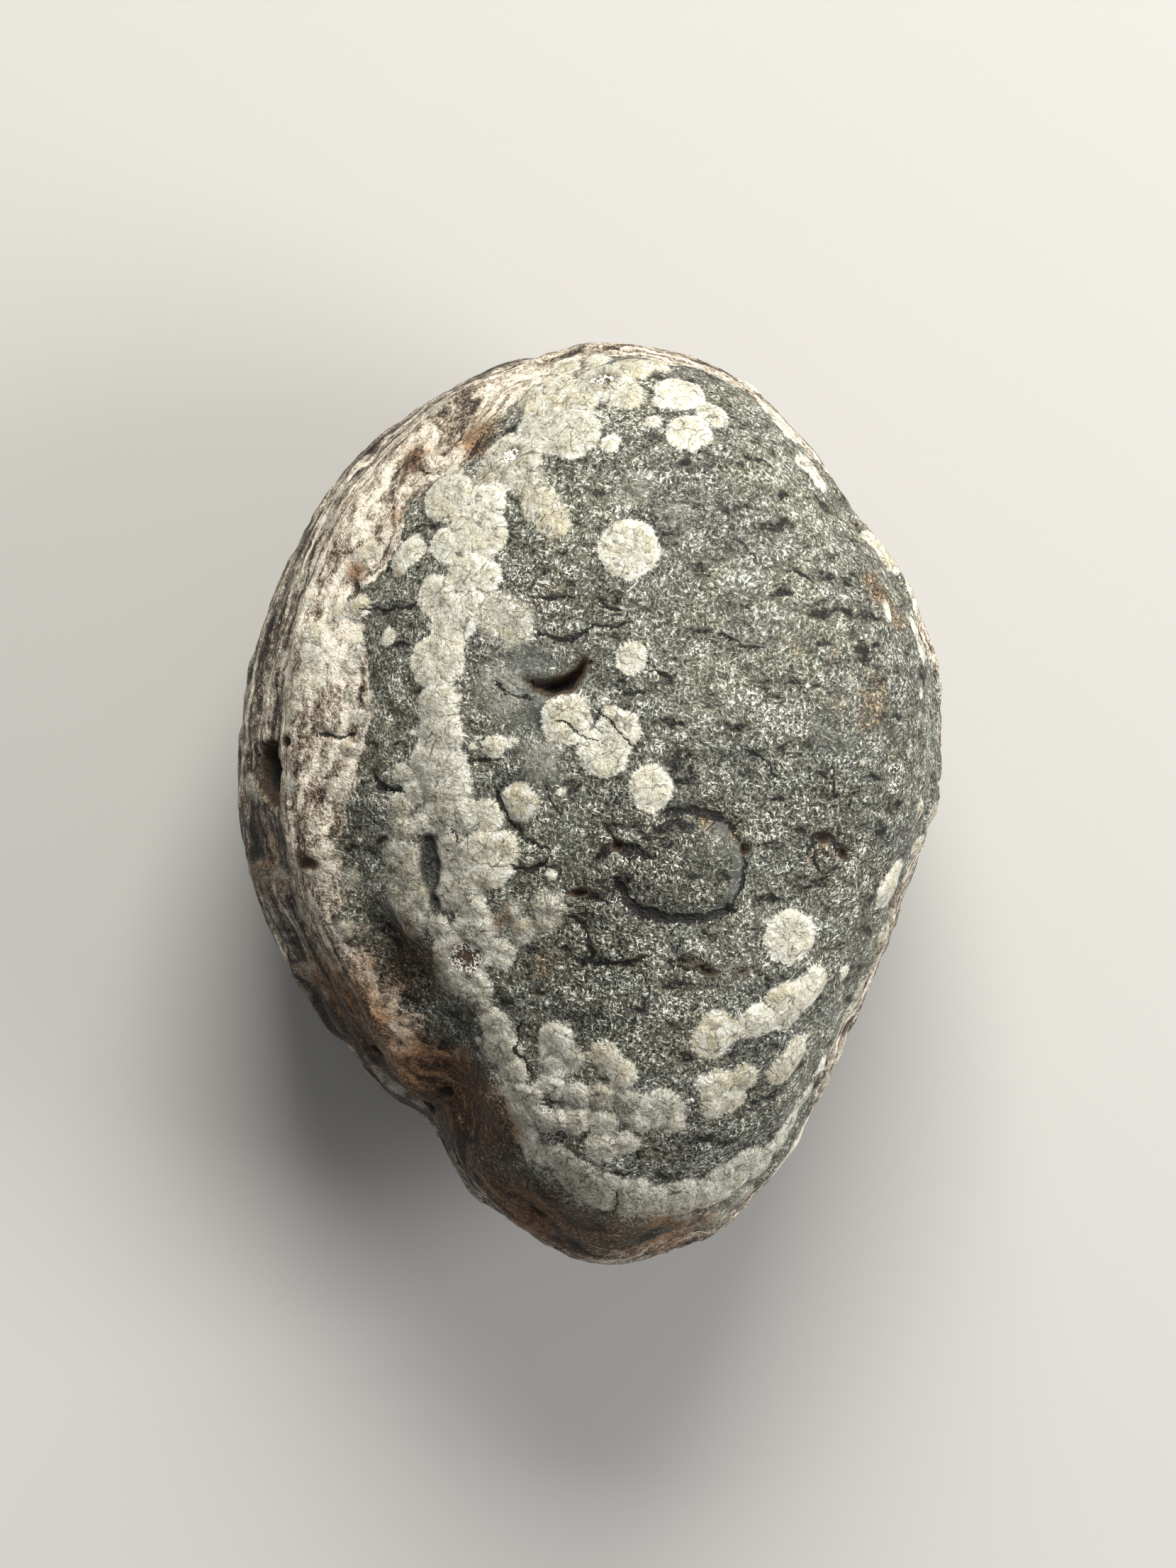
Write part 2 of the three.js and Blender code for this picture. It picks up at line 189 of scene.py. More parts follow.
@dataclass
class StoneBody:
    """The worn shape of the stone, without its fine surface.

    A front and a back dome meet at the rim, whose radius follows a closed smooth curve. Swells, hollows and
    ledges lie on the domes, and the back is cut flat where the stone rests.
    """

    thickness: float = 18.0
    rim_height: float = 8.8
    rim_wave: float = 0.9
    rim_wave_top: float = 35.0
    rim_length: float = 33.92
    back_cap: float = 0.4
    round: float = 2.0
    dip_fade: float = 5.0
    slope_step: float = 0.05
    front: Dome = Dome(apex=(3.0, 1.4), edge_mean=2.6, edge_swing=0.5, steepest=15.0)
    back: Dome = Dome(apex=(0.2, 0.5), edge_mean=2.3, edge_swing=0.25, steepest=140.0)
    outline: tuple[Point, ...] = (
        (0, 0.75), (20, 0.806), (38, 0.846), (60, 0.925), (70, 0.979), (80, 1.001), (96, 0.987),
        (120, 0.916), (145, 0.828), (170, 0.777), (195, 0.755), (215, 0.743), (232, 0.764), (245, 0.822),
        (255, 0.9), (265, 0.971), (274, 1.001), (284, 0.976), (296, 0.909), (308, 0.81), (320, 0.748),
        (340, 0.715),
    )
    dips: tuple[RimDip, ...] = (RimDip(243, 5.5, 0.74), RimDip(48, 6, 0.48))
    layer_tilt: Point = (-0.045, 0.02)
    layer_arch: float = 0.0085
    ledges: tuple[Ledge, ...] = (
        Ledge(5.4, 1.1, 0.2), Ledge(7.1, 1.0, -0.06), Ledge(8.8, 0.9, 0.1), Ledge(10.6, 0.9, -0.12),
        Ledge(12.5, 1.0, 0.18),
    )
    collar: Swell = Swell(
        (
            (2.0, 16.0), (-0.8, 14.0), (-2.8, 12.5), (-5.0, 9.8), (-4.6, 6.9), (-5.4, 4.2), (-5.2, 0.9),
            (-3.9, -1.8), (-4.5, -5.5), (-2.4, -9.5), (0.5, -13.2), (3.6, -14.6), (6.5, -12.9),
        ),
        reach=1.5,
        rise=0.16,
    )
    trough: Swell = Swell(
        ((-7.4, 9.2), (-8.2, 6.0), (-8.4, 2.2), (-8.9, -3.0), (-7.8, -5.1)), reach=1.3, rise=-0.28
    )
    nose_valley: Swell = Swell(
        ((-7.6, -5.4), (-6.2, -7.3), (-5.3, -9.4), (-4.7, -11.4)), reach=2.1, rise=-0.62
    )
    sandy_shoulder: Swell = Swell(
        ((-8.8, 11.6), (-10.2, 6.7), (-10.5, 2.0), (-10.4, -2.2), (-8.4, -7.0), (-6.8, -9.2)),
        reach=1.7,
        rise=0.1,
    )
    flank_groove: Swell = Swell(
        ((-11.2, -4.5), (-9.5, -7.4), (-7.2, -10.2), (-5.7, -12.1), (-4.3, -14.1), (-2.7, -15.6)),
        reach=1.2,
        rise=-0.24,
    )
    nose_bulge: Swell = Swell(((0.2, -12.4), (1.2, -10.2)), reach=5.0, rise=0.35)
    upper_right_flat: Swell = Swell(((8.6, 10.8),), reach=4.6, rise=-0.3)
    right_dish: Swell = Swell(((7.4, -3.4),), reach=5.0, rise=-0.22)
    pit_dish: Swell = Swell(((-1.4, 6.4),), reach=3.0, rise=-0.2)
    back_facet: Swell = Swell(((7.4, 3.5), (6.2, 9.6)), reach=6.0, rise=-0.7, side=Side.BACK)
    nose_facet: Swell = Swell(((2.8, -12.4),), reach=5.0, rise=-0.6, side=Side.BACK)
    crown_hollow: Swell = Swell(((-6.6, 8.4),), reach=3.8, rise=-0.55, side=Side.BACK)
    back_ridge: Swell = Swell(((-8.8, -5.0), (-3.8, -9.5)), reach=3.2, rise=0.35, side=Side.BACK)

    def swells(self) -> list[Swell]:
        """All the swells and hollows, front and back."""
        return [value for value in vars(self).values() if isinstance(value, Swell)]

    def rim_radius(self, degrees: Array) -> Array:
        """The rim's radius in a direction.

        Between two knots it is the cubic that meets both with the slope of the line through their
        neighbours, so the closed curve is smooth.

        Args:
            degrees: direction from +X.

        Returns:
            Distance from the middle of the outline.
        """
        angles = np.array([knot[0] for knot in self.outline], float)
        values = np.array([knot[1] for knot in self.outline])
        angles = np.concatenate([angles[-1:] - 360, angles, angles[:2] + 360])
        values = np.concatenate([values[-1:], values, values[:2]])
        slopes = np.zeros_like(values)
        slopes[1:-1] = (values[2:] - values[:-2]) / (angles[2:] - angles[:-2])
        at = np.mod(degrees, 360.0)
        i = np.clip(np.searchsorted(angles, at, side="right") - 1, 1, len(self.outline))
        span = angles[i + 1] - angles[i]
        t = (at - angles[i]) / span
        start = values[i] * (1 + 2 * t) * (1 - t) ** 2 + slopes[i] * span * t * (1 - t) ** 2
        end = values[i + 1] * t * t * (3 - 2 * t) - slopes[i + 1] * span * t * t * (1 - t)
        return (start + end) * self.rim_length / 2

    def field(self, points: Array) -> Array:
        """Below 0 inside the plain body, 0 on it and above 0 outside.

        A point's height is its share of the way from the rim to the top of its dome, and its share is how
        far out it lies towards the rim's radius, seen from an axis that leans towards the dome's apex. The
        body is where share^edge + height^round = 1.

        Args:
            points: places.

        Returns:
            One number for each point.
        """
        x, y, z = points.T
        around = np.degrees(np.arctan2(y, x))
        wave = self.rim_wave * cos_degrees(around - self.rim_wave_top)
        rim = self.rim_height + wave * np.minimum(1.0, np.hypot(x, y) / 6.0)
        is_front = z > rim

        def either(front: float, back: float) -> Array:
            """The front dome's value or the back dome's, by where each point lies."""
            return np.where(is_front, front, back)

        height = np.where(is_front, (z - rim) / (self.thickness - rim), (rim - z) / (rim + self.back_cap))
        lean = np.minimum(height, 1.0) ** 2
        u = x - either(self.front.apex[0], self.back.apex[0]) * lean
        v = y - either(self.front.apex[1], self.back.apex[1]) * lean
        degrees = np.degrees(np.arctan2(v, u))
        plain = self.rim_radius(degrees)
        share = np.hypot(u, v) / plain
        drawn_in = np.zeros_like(share)
        for dip in self.dips:
            turn = np.mod(degrees - dip.degrees + 180.0, 360.0) - 180.0
            drawn_in += dip.depth * np.exp(-((turn / dip.half_width) ** 2))
        share = share * plain / (plain - drawn_in * np.minimum(share, 1.0) ** self.dip_fade)
        swing = either(self.front.edge_swing, self.back.edge_swing)
        steepest = either(self.front.steepest, self.back.steepest)
        edge = either(self.front.edge_mean, self.back.edge_mean) + swing * cos_degrees(degrees - steepest)
        return share**edge + height**self.round - 1.0

    def core(self) -> Array:
        """The point from which every ray leaves the body once."""
        return np.array([0.0, 0.0, self.rim_height])

    def leave(self, starts: Array, directions: Array) -> Array:
        """Where lines leave the plain body, found by halving the stretch that holds the surface.

        Args:
            starts: places inside the body, one a row.
            directions: unit vectors, one a row.

        Returns:
            Points on the plain body.
        """
        near = np.zeros(len(directions))
        far = np.full(len(directions), 2.0 * self.thickness)
        for _ in range(34):
            middle = (near + far) / 2.0
            inside = self.field(starts + directions * middle[:, None]) < 0.0
            near = np.where(inside, middle, near)
            far = np.where(inside, far, middle)
        return starts + directions * near[:, None]

    def on_side(self, points: Array, side: Side) -> Array:
        """The plain body's points above or below points of the outline's plane, given as x and y."""
        starts = np.column_stack([points, np.full(len(points), self.rim_height)])
        return self.leave(starts, np.tile([0.0, 0.0, float(side.value)], (len(points), 1)))

    def outward(self, points: Array) -> Array:
        """The plain body's outward unit vectors, from the slope of its field."""
        pairs = ((points + step, points - step) for step in np.eye(3) * self.slope_step)
        return unit(np.stack([self.field(ahead) - self.field(behind) for ahead, behind in pairs], axis=1))

    def layer_depth(self, points: Array) -> Array:
        """How deep points lie in the pile of flow layers, which lean a little and arch along Y.

        Args:
            points: places.

        Returns:
            Depths below the stone's top: thickness - z + lean - arch * y^2.
        """
        x, y, z = points.T
        along = y - self.front.apex[1]
        lean = self.layer_tilt[0] * (x - self.front.apex[0]) + self.layer_tilt[1] * along
        return self.thickness - z + lean - self.layer_arch * along**2

    def relief(self, points: Array) -> Array:
        """How far the surface stands out from the plain body, by its swells, hollows and ledges.

        Args:
            points: places on the plain body.

        Returns:
            Heights, which fade to 0 where the stone rests.
        """
        rise = np.zeros(len(points))
        for swell in self.swells():
            path = self.on_side(np.array(swell.path, float), swell.side)
            rise += swell.rise * bump(distance_to_path(points, path) / swell.reach)
        depth = self.layer_depth(points)
        for ledge in self.ledges:
            rise += ledge.rise * bump((depth - ledge.depth) / ledge.reach)
        return rise * ramp(points[:, 2], 0.0, 1.0)

    def surface(self, directions: Array) -> Array:
        """Where rays from the core meet the stone, with its relief, cut off flat where it rests.

        Args:
            directions: unit vectors, one a row.

        Returns:
            Points on the stone's smooth surface.
        """
        core = self.core()
        plain = self.leave(np.tile(core, (len(directions), 1)), directions)
        reach = np.linalg.norm(plain - core, axis=1) + self.relief(plain)
        down = np.minimum(directions[:, 2], -1e-9)
        floor = np.where(directions[:, 2] < 0.0, self.rim_height / -down, np.inf)
        return core + directions * np.minimum(reach, floor)[:, None]

    def lay(self, points: Array, side: Side) -> Array:
        """Lays points of the outline's plane, given as x and y, on one face of the smooth surface."""
        plain = self.on_side(points, side)
        return plain + unit(plain - self.core()) * self.relief(plain)[:, None]


def distance_to_segment(points: Array, start: Array, end: Array) -> tuple[Array, Array]:
    """Distances from points to a segment, and the nearest places on it.

    Args:
        points: places, one a row.
        start: the segment's first end.
        end: its other end, which may be the same.

    Returns:
        One distance and one place for each point.
    """
    along = end - start
    length = max(float(along @ along), 1e-12)
    share = np.clip((points - start) @ along / length, 0.0, 1.0)
    nearest = start + share[:, None] * along
    return np.linalg.norm(points - nearest, axis=1), nearest


def distance_to_path(points: Array, path: Array) -> Array:
    """Distances from points to a path.

    Args:
        points: places, one a row.
        path: the path's places, of which there may be only one.

    Returns:
        One distance for each point.
    """
    if len(path) == 1:
        return np.linalg.norm(points - path[0], axis=1)
    spans = [distance_to_segment(points, path[i], path[i + 1])[0] for i in range(len(path) - 1)]
    return np.min(spans, axis=0)


class Fill(Enum):
    """What shows inside an open bubble; soil in it darkens towards the middle, partly real and partly
    painted shade.
    """

    GLASS = -1.0
    DIRT_AND_SHADE = 0.0
    CRYSTALS = 1.0


@dataclass(frozen=True)
class Vug:
    """An open bubble: half an ellipsoid sunk into the surface, turned about its mouth's middle."""

    at: Point
    across: float
    along: float
    deep: float
    turn: float = 0.0
    side: Side = Side.FRONT
    fill: Fill = Fill.DIRT_AND_SHADE


@dataclass(frozen=True)
class Crack:
    """A crack along a path on one face, with the width and depth of its V."""

    path: tuple[Point, ...]
    mouth: float = 0.1
    deep: float = 0.05
    side: Side = Side.FRONT


def arc(centre: Point, radius: float, start: float, end: float, count: int) -> tuple[Point, ...]:
    """Points on an arc about a centre, from one angle to another, in degrees."""
    angles = np.radians(np.linspace(start, end, count))
    return tuple((centre[0] + radius * math.cos(a), centre[1] + radius * math.sin(a)) for a in angles)


@dataclass
class Hollows:
    """What is cut into the stone: vugs, the crescent pit, the percussion ring, cracks and chips."""

    body: StoneBody
    crown_vug: Vug = Vug((0.6, 15.5), 1.1, 0.65, 0.4, -10, fill=Fill.CRYSTALS)
    chain_vug: Vug = Vug((-2.75, 12.65), 0.75, 0.55, 0.25, 55, fill=Fill.CRYSTALS)
    eye: Vug = Vug((-5.78, -2.05), 0.85, 1.9, 0.26, 4, fill=Fill.GLASS)
    crystal_vug: Vug = Vug((-4.4, -5.5), 1.5, 1.1, 0.2, 20, fill=Fill.CRYSTALS)
    upper_nose_vug: Vug = Vug((-1.45, -10.7), 0.8, 0.65, 0.26, -15, fill=Fill.CRYSTALS)
    nose_vug: Vug = Vug((-1.1, -11.85), 1.0, 0.75, 0.4, 20, fill=Fill.CRYSTALS)
    flank_cavity: Vug = Vug((-11.85, 1.2), 1.6, 2.4, 0.9, 0)
    flank_pock: Vug = Vug((-10.0, -2.15), 0.9, 0.5, 0.2, 0)
    small_flank_pock: Vug = Vug((-10.9, 2.25), 0.55, 0.5, 0.3, 0)
    high_flank_pock: Vug = Vug((-8.6, 7.9), 0.4, 0.7, 0.25, 0)
    groove_pock: Vug = Vug((-7.1, -10.1), 0.9, 0.5, 0.4, -40)
    high_groove_pock: Vug = Vug((-8.0, -9.4), 0.7, 0.36, 0.3, -50)
    notch_pock: Vug = Vug((-5.9, -11.2), 0.5, 0.8, 0.35, -30)
    small_notch_pock: Vug = Vug((-5.4, -10.9), 0.45, 0.5, 0.35, 20)
    right_pock: Vug = Vug((8.65, -1.25), 0.55, 0.3, 0.28, -20)
    lower_right_pock: Vug = Vug((9.45, -1.8), 0.35, 0.45, 0.26, 20)
    ring_pock: Vug = Vug((5.8, -1.65), 0.4, 0.45, 0.28, 20)
    lower_eye: Vug = Vug((-5.6, -3.65), 0.4, 0.85, 0.14, 8, fill=Fill.GLASS)
    slot_pock: Vug = Vug((4.25, -6.0), 0.9, 0.3, 0.26, -30)
    second_slot_pock: Vug = Vug((5.7, -6.15), 0.4, 0.25, 0.2, -10)
    left_slot_pock: Vug = Vug((-0.3, -3.2), 0.7, 0.3, 0.2, 15)
    star_pock: Vug = Vug((1.05, -1.5), 0.4, 0.35, 0.22, 20)
    nose_pock: Vug = Vug((-1.9, -15.1), 0.8, 0.3, 0.22, -40)
    back_vug: Vug = Vug((-5.0, 6.5), 1.7, 1.0, 0.7, 30, Side.BACK)
    back_nose_vug: Vug = Vug((5.5, -8.0), 1.2, 0.8, 0.5, 70, Side.BACK)
    back_crown_vug: Vug = Vug((8.6, 6.4), 1.0, 0.8, 0.5, 10, Side.BACK)
    back_pock: Vug = Vug((-7.4, -2.6), 0.8, 0.6, 0.35, 10, Side.BACK)
    crescent_at: Point = (-1.3, 5.2)
    crescent_radius: float = 1.25
    crescent_deep: float = 1.1
    lip_radius: float = 1.5
    lip_shift: Point = (-0.26, 0.85)
    ring_centre: Point = (3.7, -2.3)
    ring_radius: float = 2.12
    scar_width: float = 0.26
    vug_raggedness: float = 0.18
    lip_raggedness: float = 0.07
    grasp: float = 1.5
    chips: int = 320
    chip_reaches: Point = (0.3, 1.0)
    chip_slopes: Point = (0.03, 0.09)
    seed: int = 41

    def vugs(self) -> list[Vug]:
        """All the vugs, front and back."""
        return [value for value in vars(self).values() if isinstance(value, Vug)]

    def cracks(self) -> list[Crack]:
        """Lists the cracks.

        Returns:
            The percussion ring's arcs and the fine cracks, front and back.
        """
        ring, radius = self.ring_centre, self.ring_radius
        return [
            Crack(
                ((1.1, -3.0), (1.4, -3.5), (2.0, -4.0), (3.0, -4.15), (4.2, -4.2), (5.2, -3.9)), 0.5, 0.26
            ),
            Crack(arc(ring, radius, -30, 60, 8), 0.16, 0.1),
            Crack(((3.0, -0.3), (3.8, -0.2), (4.6, -0.35), (5.2, -0.75)), 0.5, 0.22),
            Crack(((0.4, -1.9), (0.75, -1.6), (1.1, -1.5), (1.7, -1.6), (2.2, -1.9)), 0.3, 0.18),
            Crack(((0.8, -1.0), (1.05, -1.45), (1.4, -1.9)), 0.24, 0.14),
            Crack(((8.2, -1.6), (8.4, -1.2), (8.9, -1.2), (9.2, -1.5), (9.5, -1.85)), 0.3, 0.16),
            Crack(((8.35, -2.0), (8.5, -2.3)), 0.2, 0.1),
            Crack(((-0.5, -4.1), (-0.1, -4.4), (0.05, -5.0), (0.2, -5.5)), 0.2, 0.12),
            Crack(((-0.6, -3.2), (-0.1, -3.3), (0.6, -3.5)), 0.26, 0.14),
            Crack(((-2.6, -2.3), (-2.1, -2.4), (-1.7, -2.2)), 0.22, 0.12),
            Crack(((-1.8, 6.4), (-1.2, 6.15), (-0.7, 6.15), (-0.2, 6.3)), 0.2, 0.12),
            Crack(((-1.4, 7.6), (-0.9, 7.6), (-0.6, 7.65)), 0.14, 0.1),
            Crack(((0.5, 7.4), (0.8, 7.2), (1.05, 7.1)), 0.16, 0.1),
            Crack(((2.4, 4.8), (2.8, 4.75), (3.0, 4.6)), 0.14, 0.1),
            Crack(((1.3, 4.1), (1.7, 4.05), (2.0, 4.15)), 0.12, 0.08),
            Crack(((-3.3, 0.4), (-2.9, -0.5), (-2.3, -1.2), (-1.6, -1.5)), 0.18, 0.14),
            Crack(((-1.5, 0.6), (-1.3, 0.1), (-1.0, -0.3)), 0.12, 0.08),
            Crack(((-3.3, 4.4), (-2.9, 4.1), (-2.2, 3.9)), 0.12, 0.08),
            Crack(((-9.7, 2.6), (-9.2, 2.5), (-8.8, 2.6)), 0.16, 0.12),
            Crack(((-7.8, 0.9), (-7.3, 0.5), (-6.9, 0.5)), 0.2, 0.16),
            Crack(((-8.2, 7.3), (-7.4, 7.2), (-6.4, 7.3)), 0.16, 0.12),
            Crack(((0.3, 6.6), (0.9, 6.5), (1.3, 6.6)), 0.12, 0.08),
            Crack(((5.0, 6.1), (5.6, 5.8), (6.1, 5.7)), 0.12, 0.08),
            Crack(((5.5, 9.6), (5.8, 9.4), (6.1, 9.0)), 0.08, 0.05),
            Crack(((7.4, 8.6), (7.7, 8.5), (8.0, 8.3)), 0.12, 0.07),
            Crack(((6.3, 1.7), (6.6, 1.4), (6.8, 1.1)), 0.1, 0.06),
            Crack(((8.9, 1.3), (8.9, 0.6), (8.9, 0.3)), 0.1, 0.06),
            Crack(((3.3, -5.9), (4.1, -6.1), (4.7, -6.1)), 0.14, 0.1),
            Crack(((-0.3, -5.7), (0.7, -5.85), (1.4, -5.8), (2.0, -5.6)), 0.2, 0.12),
            Crack(((2.1, -6.2), (2.2, -6.7), (2.0, -7.2)), 0.1, 0.06),
            Crack(((0.9, -13.7), (1.1, -14.2), (1.0, -14.8)), 0.1, 0.06),
            Crack(((-5.2, -0.6), (-4.9, -0.8), (-4.7, -1.2)), 0.08, 0.05),
            Crack(((-0.9, 3.0), (-0.5, 2.75), (-0.1, 2.5), (0.4, 2.3)), 0.1, 0.06),
            Crack(((0.5, 3.3), (1.0, 2.9), (1.5, 2.4), (1.7, 2.1)), 0.1, 0.06),
            Crack(((-2.5, -8.0), (-2.6, -8.8), (-2.1, -9.5)), 0.12, 0.08),
            Crack(((0.0, 8.0), (1.5, 7.2), (3.4, 7.4)), 0.14, 0.1, Side.BACK),
            Crack(((-4.0, -4.5), (-3.2, -6.2), (-1.4, -6.8)), 0.14, 0.1, Side.BACK),
            Crack(((5.8, 0.8), (6.6, -0.9), (6.4, -2.8)), 0.12, 0.08, Side.BACK),
        ]

    def _frame(self, at: Point, side: Side, turn: float) -> tuple[Array, Array]:
        """Finds a place on the surface, and its axes.

        Args:
            at: x and y of the place.
            side: the face that it lies on.
            turn: degrees by which the axes turn about the outward one.

        Returns:
            The place, and a matrix whose rows point across and along the surface, and out of it.
        """
        flat = np.array([at], float)
        origin = self.body.lay(flat, side)[0]
        up = self.body.outward(self.body.on_side(flat, side))[0]
        along = unit(np.array([0.0, 1.0, 0.0]) - up * up[1])
        across = np.cross(along, up)
        c, s = math.cos(math.radians(turn)), math.sin(math.radians(turn))
        return origin, np.stack([across * c + along * s, along * c - across * s, up])

    def vug_share(self, points: Array, vug: Vug) -> Array:
        """How far out each point lies from a vug's middle.

        Args:
            points: places on the smooth surface.
            vug: the open bubble.

        Returns:
            Shares of the way out, where 1 is the vug's ragged edge.
        """
        origin, axes = self._frame(vug.at, vug.side, vug.turn)
        local = (points - origin) @ axes.T
        ragged = self.vug_raggedness * Rough.layered(points, 0.6, 2, 77)
        share = np.hypot(local[:, 0] / (vug.across / 2), local[:, 1] / (vug.along / 2)) + ragged
        return np.where(np.abs(local[:, 2]) < self.grasp, share, FAR)

    def vug_depth(self, points: Array, vug: Vug) -> Array:
        """Depth below a vug's mouth: deep * sqrt(1 - r^2), where r is the share of the way to its edge."""
        share = self.vug_share(points, vug)
        return vug.deep * np.sqrt(np.clip(1.0 - share * share, 0.0, 1.0))

    def crescent_depth(self, points: Array) -> tuple[Array, Array, Array]:
        """Depth of the crescent pit: a round hollow, less the part under a round lip that overhangs it.

        Args:
            points: places on the smooth surface.

        Returns:
            The depth, how far inside the pit's edge each point is, and how near it is to the lower edge,
            from 0 to 1, where a pale line is painted that is partly stain and partly painted highlight.
        """
        origin, axes = self._frame(self.crescent_at, Side.FRONT, 0.0)
        local = (points - origin) @ axes.T
        ragged = self.lip_raggedness * Rough.layered(points, 0.5, 2, 78)
        r = np.hypot(local[:, 0], local[:, 1]) / self.crescent_radius + ragged
        from_lip = np.hypot(local[:, 0] - self.lip_shift[0], local[:, 1] - self.lip_shift[1]) + ragged
        open_part = ramp(from_lip, self.lip_radius - 0.06, self.lip_radius + 0.2)
        near = np.abs(local[:, 2]) < self.grasp
        hollow = np.where(near, self.crescent_deep * np.sqrt(np.clip(1.0 - r * r, 0.0, 1.0)), 0.0)
        inset = np.minimum((1.0 - r) * self.crescent_radius, from_lip - self.lip_radius)
        edge = np.where(near & (from_lip > self.lip_radius), bump((r - 0.94) / 0.14), 0.0)
        return hollow * open_part, np.where(near, inset, -FAR), edge

    def chip_depth(self, points: Array) -> Array:
        """Depth of the small shell-shaped chips.

        Each is a dish, deep * (1 - r^2), times a share that leans from shallow on one side to deep on the
        other.

        Args:
            points: places on the smooth surface.

        Returns:
            Depths, of the deepest chip at each point.
        """
        rng = np.random.default_rng(self.seed)
        directions = unit(rng.normal(size=(self.chips, 3)) * np.array([0.8, 1.0, 0.7]))
        places = self.body.surface(directions)
        reaches = rng.uniform(*self.chip_reaches, self.chips)
        deeps = reaches * rng.uniform(*self.chip_slopes, self.chips)
        slants = unit(rng.normal(size=(self.chips, 3)))
        depth = np.zeros(len(points))
        for place, reach, deep, slant in zip(places, reaches, deeps, slants):
            near = np.flatnonzero(np.abs(points - place).max(axis=1) < reach)
            offset = points[near] - place
            r = np.linalg.norm(offset, axis=1) / reach
            lean = 0.5 + 0.5 * np.clip(offset @ slant / reach, -1.0, 1.0)
            dish = deep * np.clip(1.0 - r * r, 0.0, 1.0) * (0.4 + 1.2 * lean)
            depth[near] = np.maximum(depth[near], dish)
        return depth

    def crack_paths(self) -> list[tuple[Crack, Array]]:
        """Each crack with its path laid on the stone."""
        return [(crack, self.body.lay(np.array(crack.path, float), crack.side)) for crack in self.cracks()]


class Cast(Enum):
    """A spherulite's look: how pale it is, how warm, and how much it covers the glass."""

    CHALK = (1.0, 0.35, 1.0)
    CREAM = (0.88, 0.7, 0.95)
    GREY = (0.72, 0.26, 0.95)
    ASH = (0.42, 0.6, 0.8)
    SOFT = (0.8, 0.6, 0.72)
    VEILED = (0.45, 0.2, 0.45)


@dataclass(frozen=True)
class Spherulite:
    """A ball of pale fibres that the surface cuts, or a row of them grown into one along a path."""

    path: tuple[Point, ...]
    radius: float
    cast: Cast = Cast.GREY


def spots(cast: Cast, *places: tuple[float, float, float]) -> list[Spherulite]:
    """Single spherulites of one cast, each given as x, y and radius."""
    return [Spherulite(((x, y),), radius, cast) for x, y, radius in places]


def chain(cast: Cast, radius: float, *places: Point) -> Spherulite:
    """A row of joined spherulites of one radius."""
    return Spherulite(tuple(places), radius, cast)


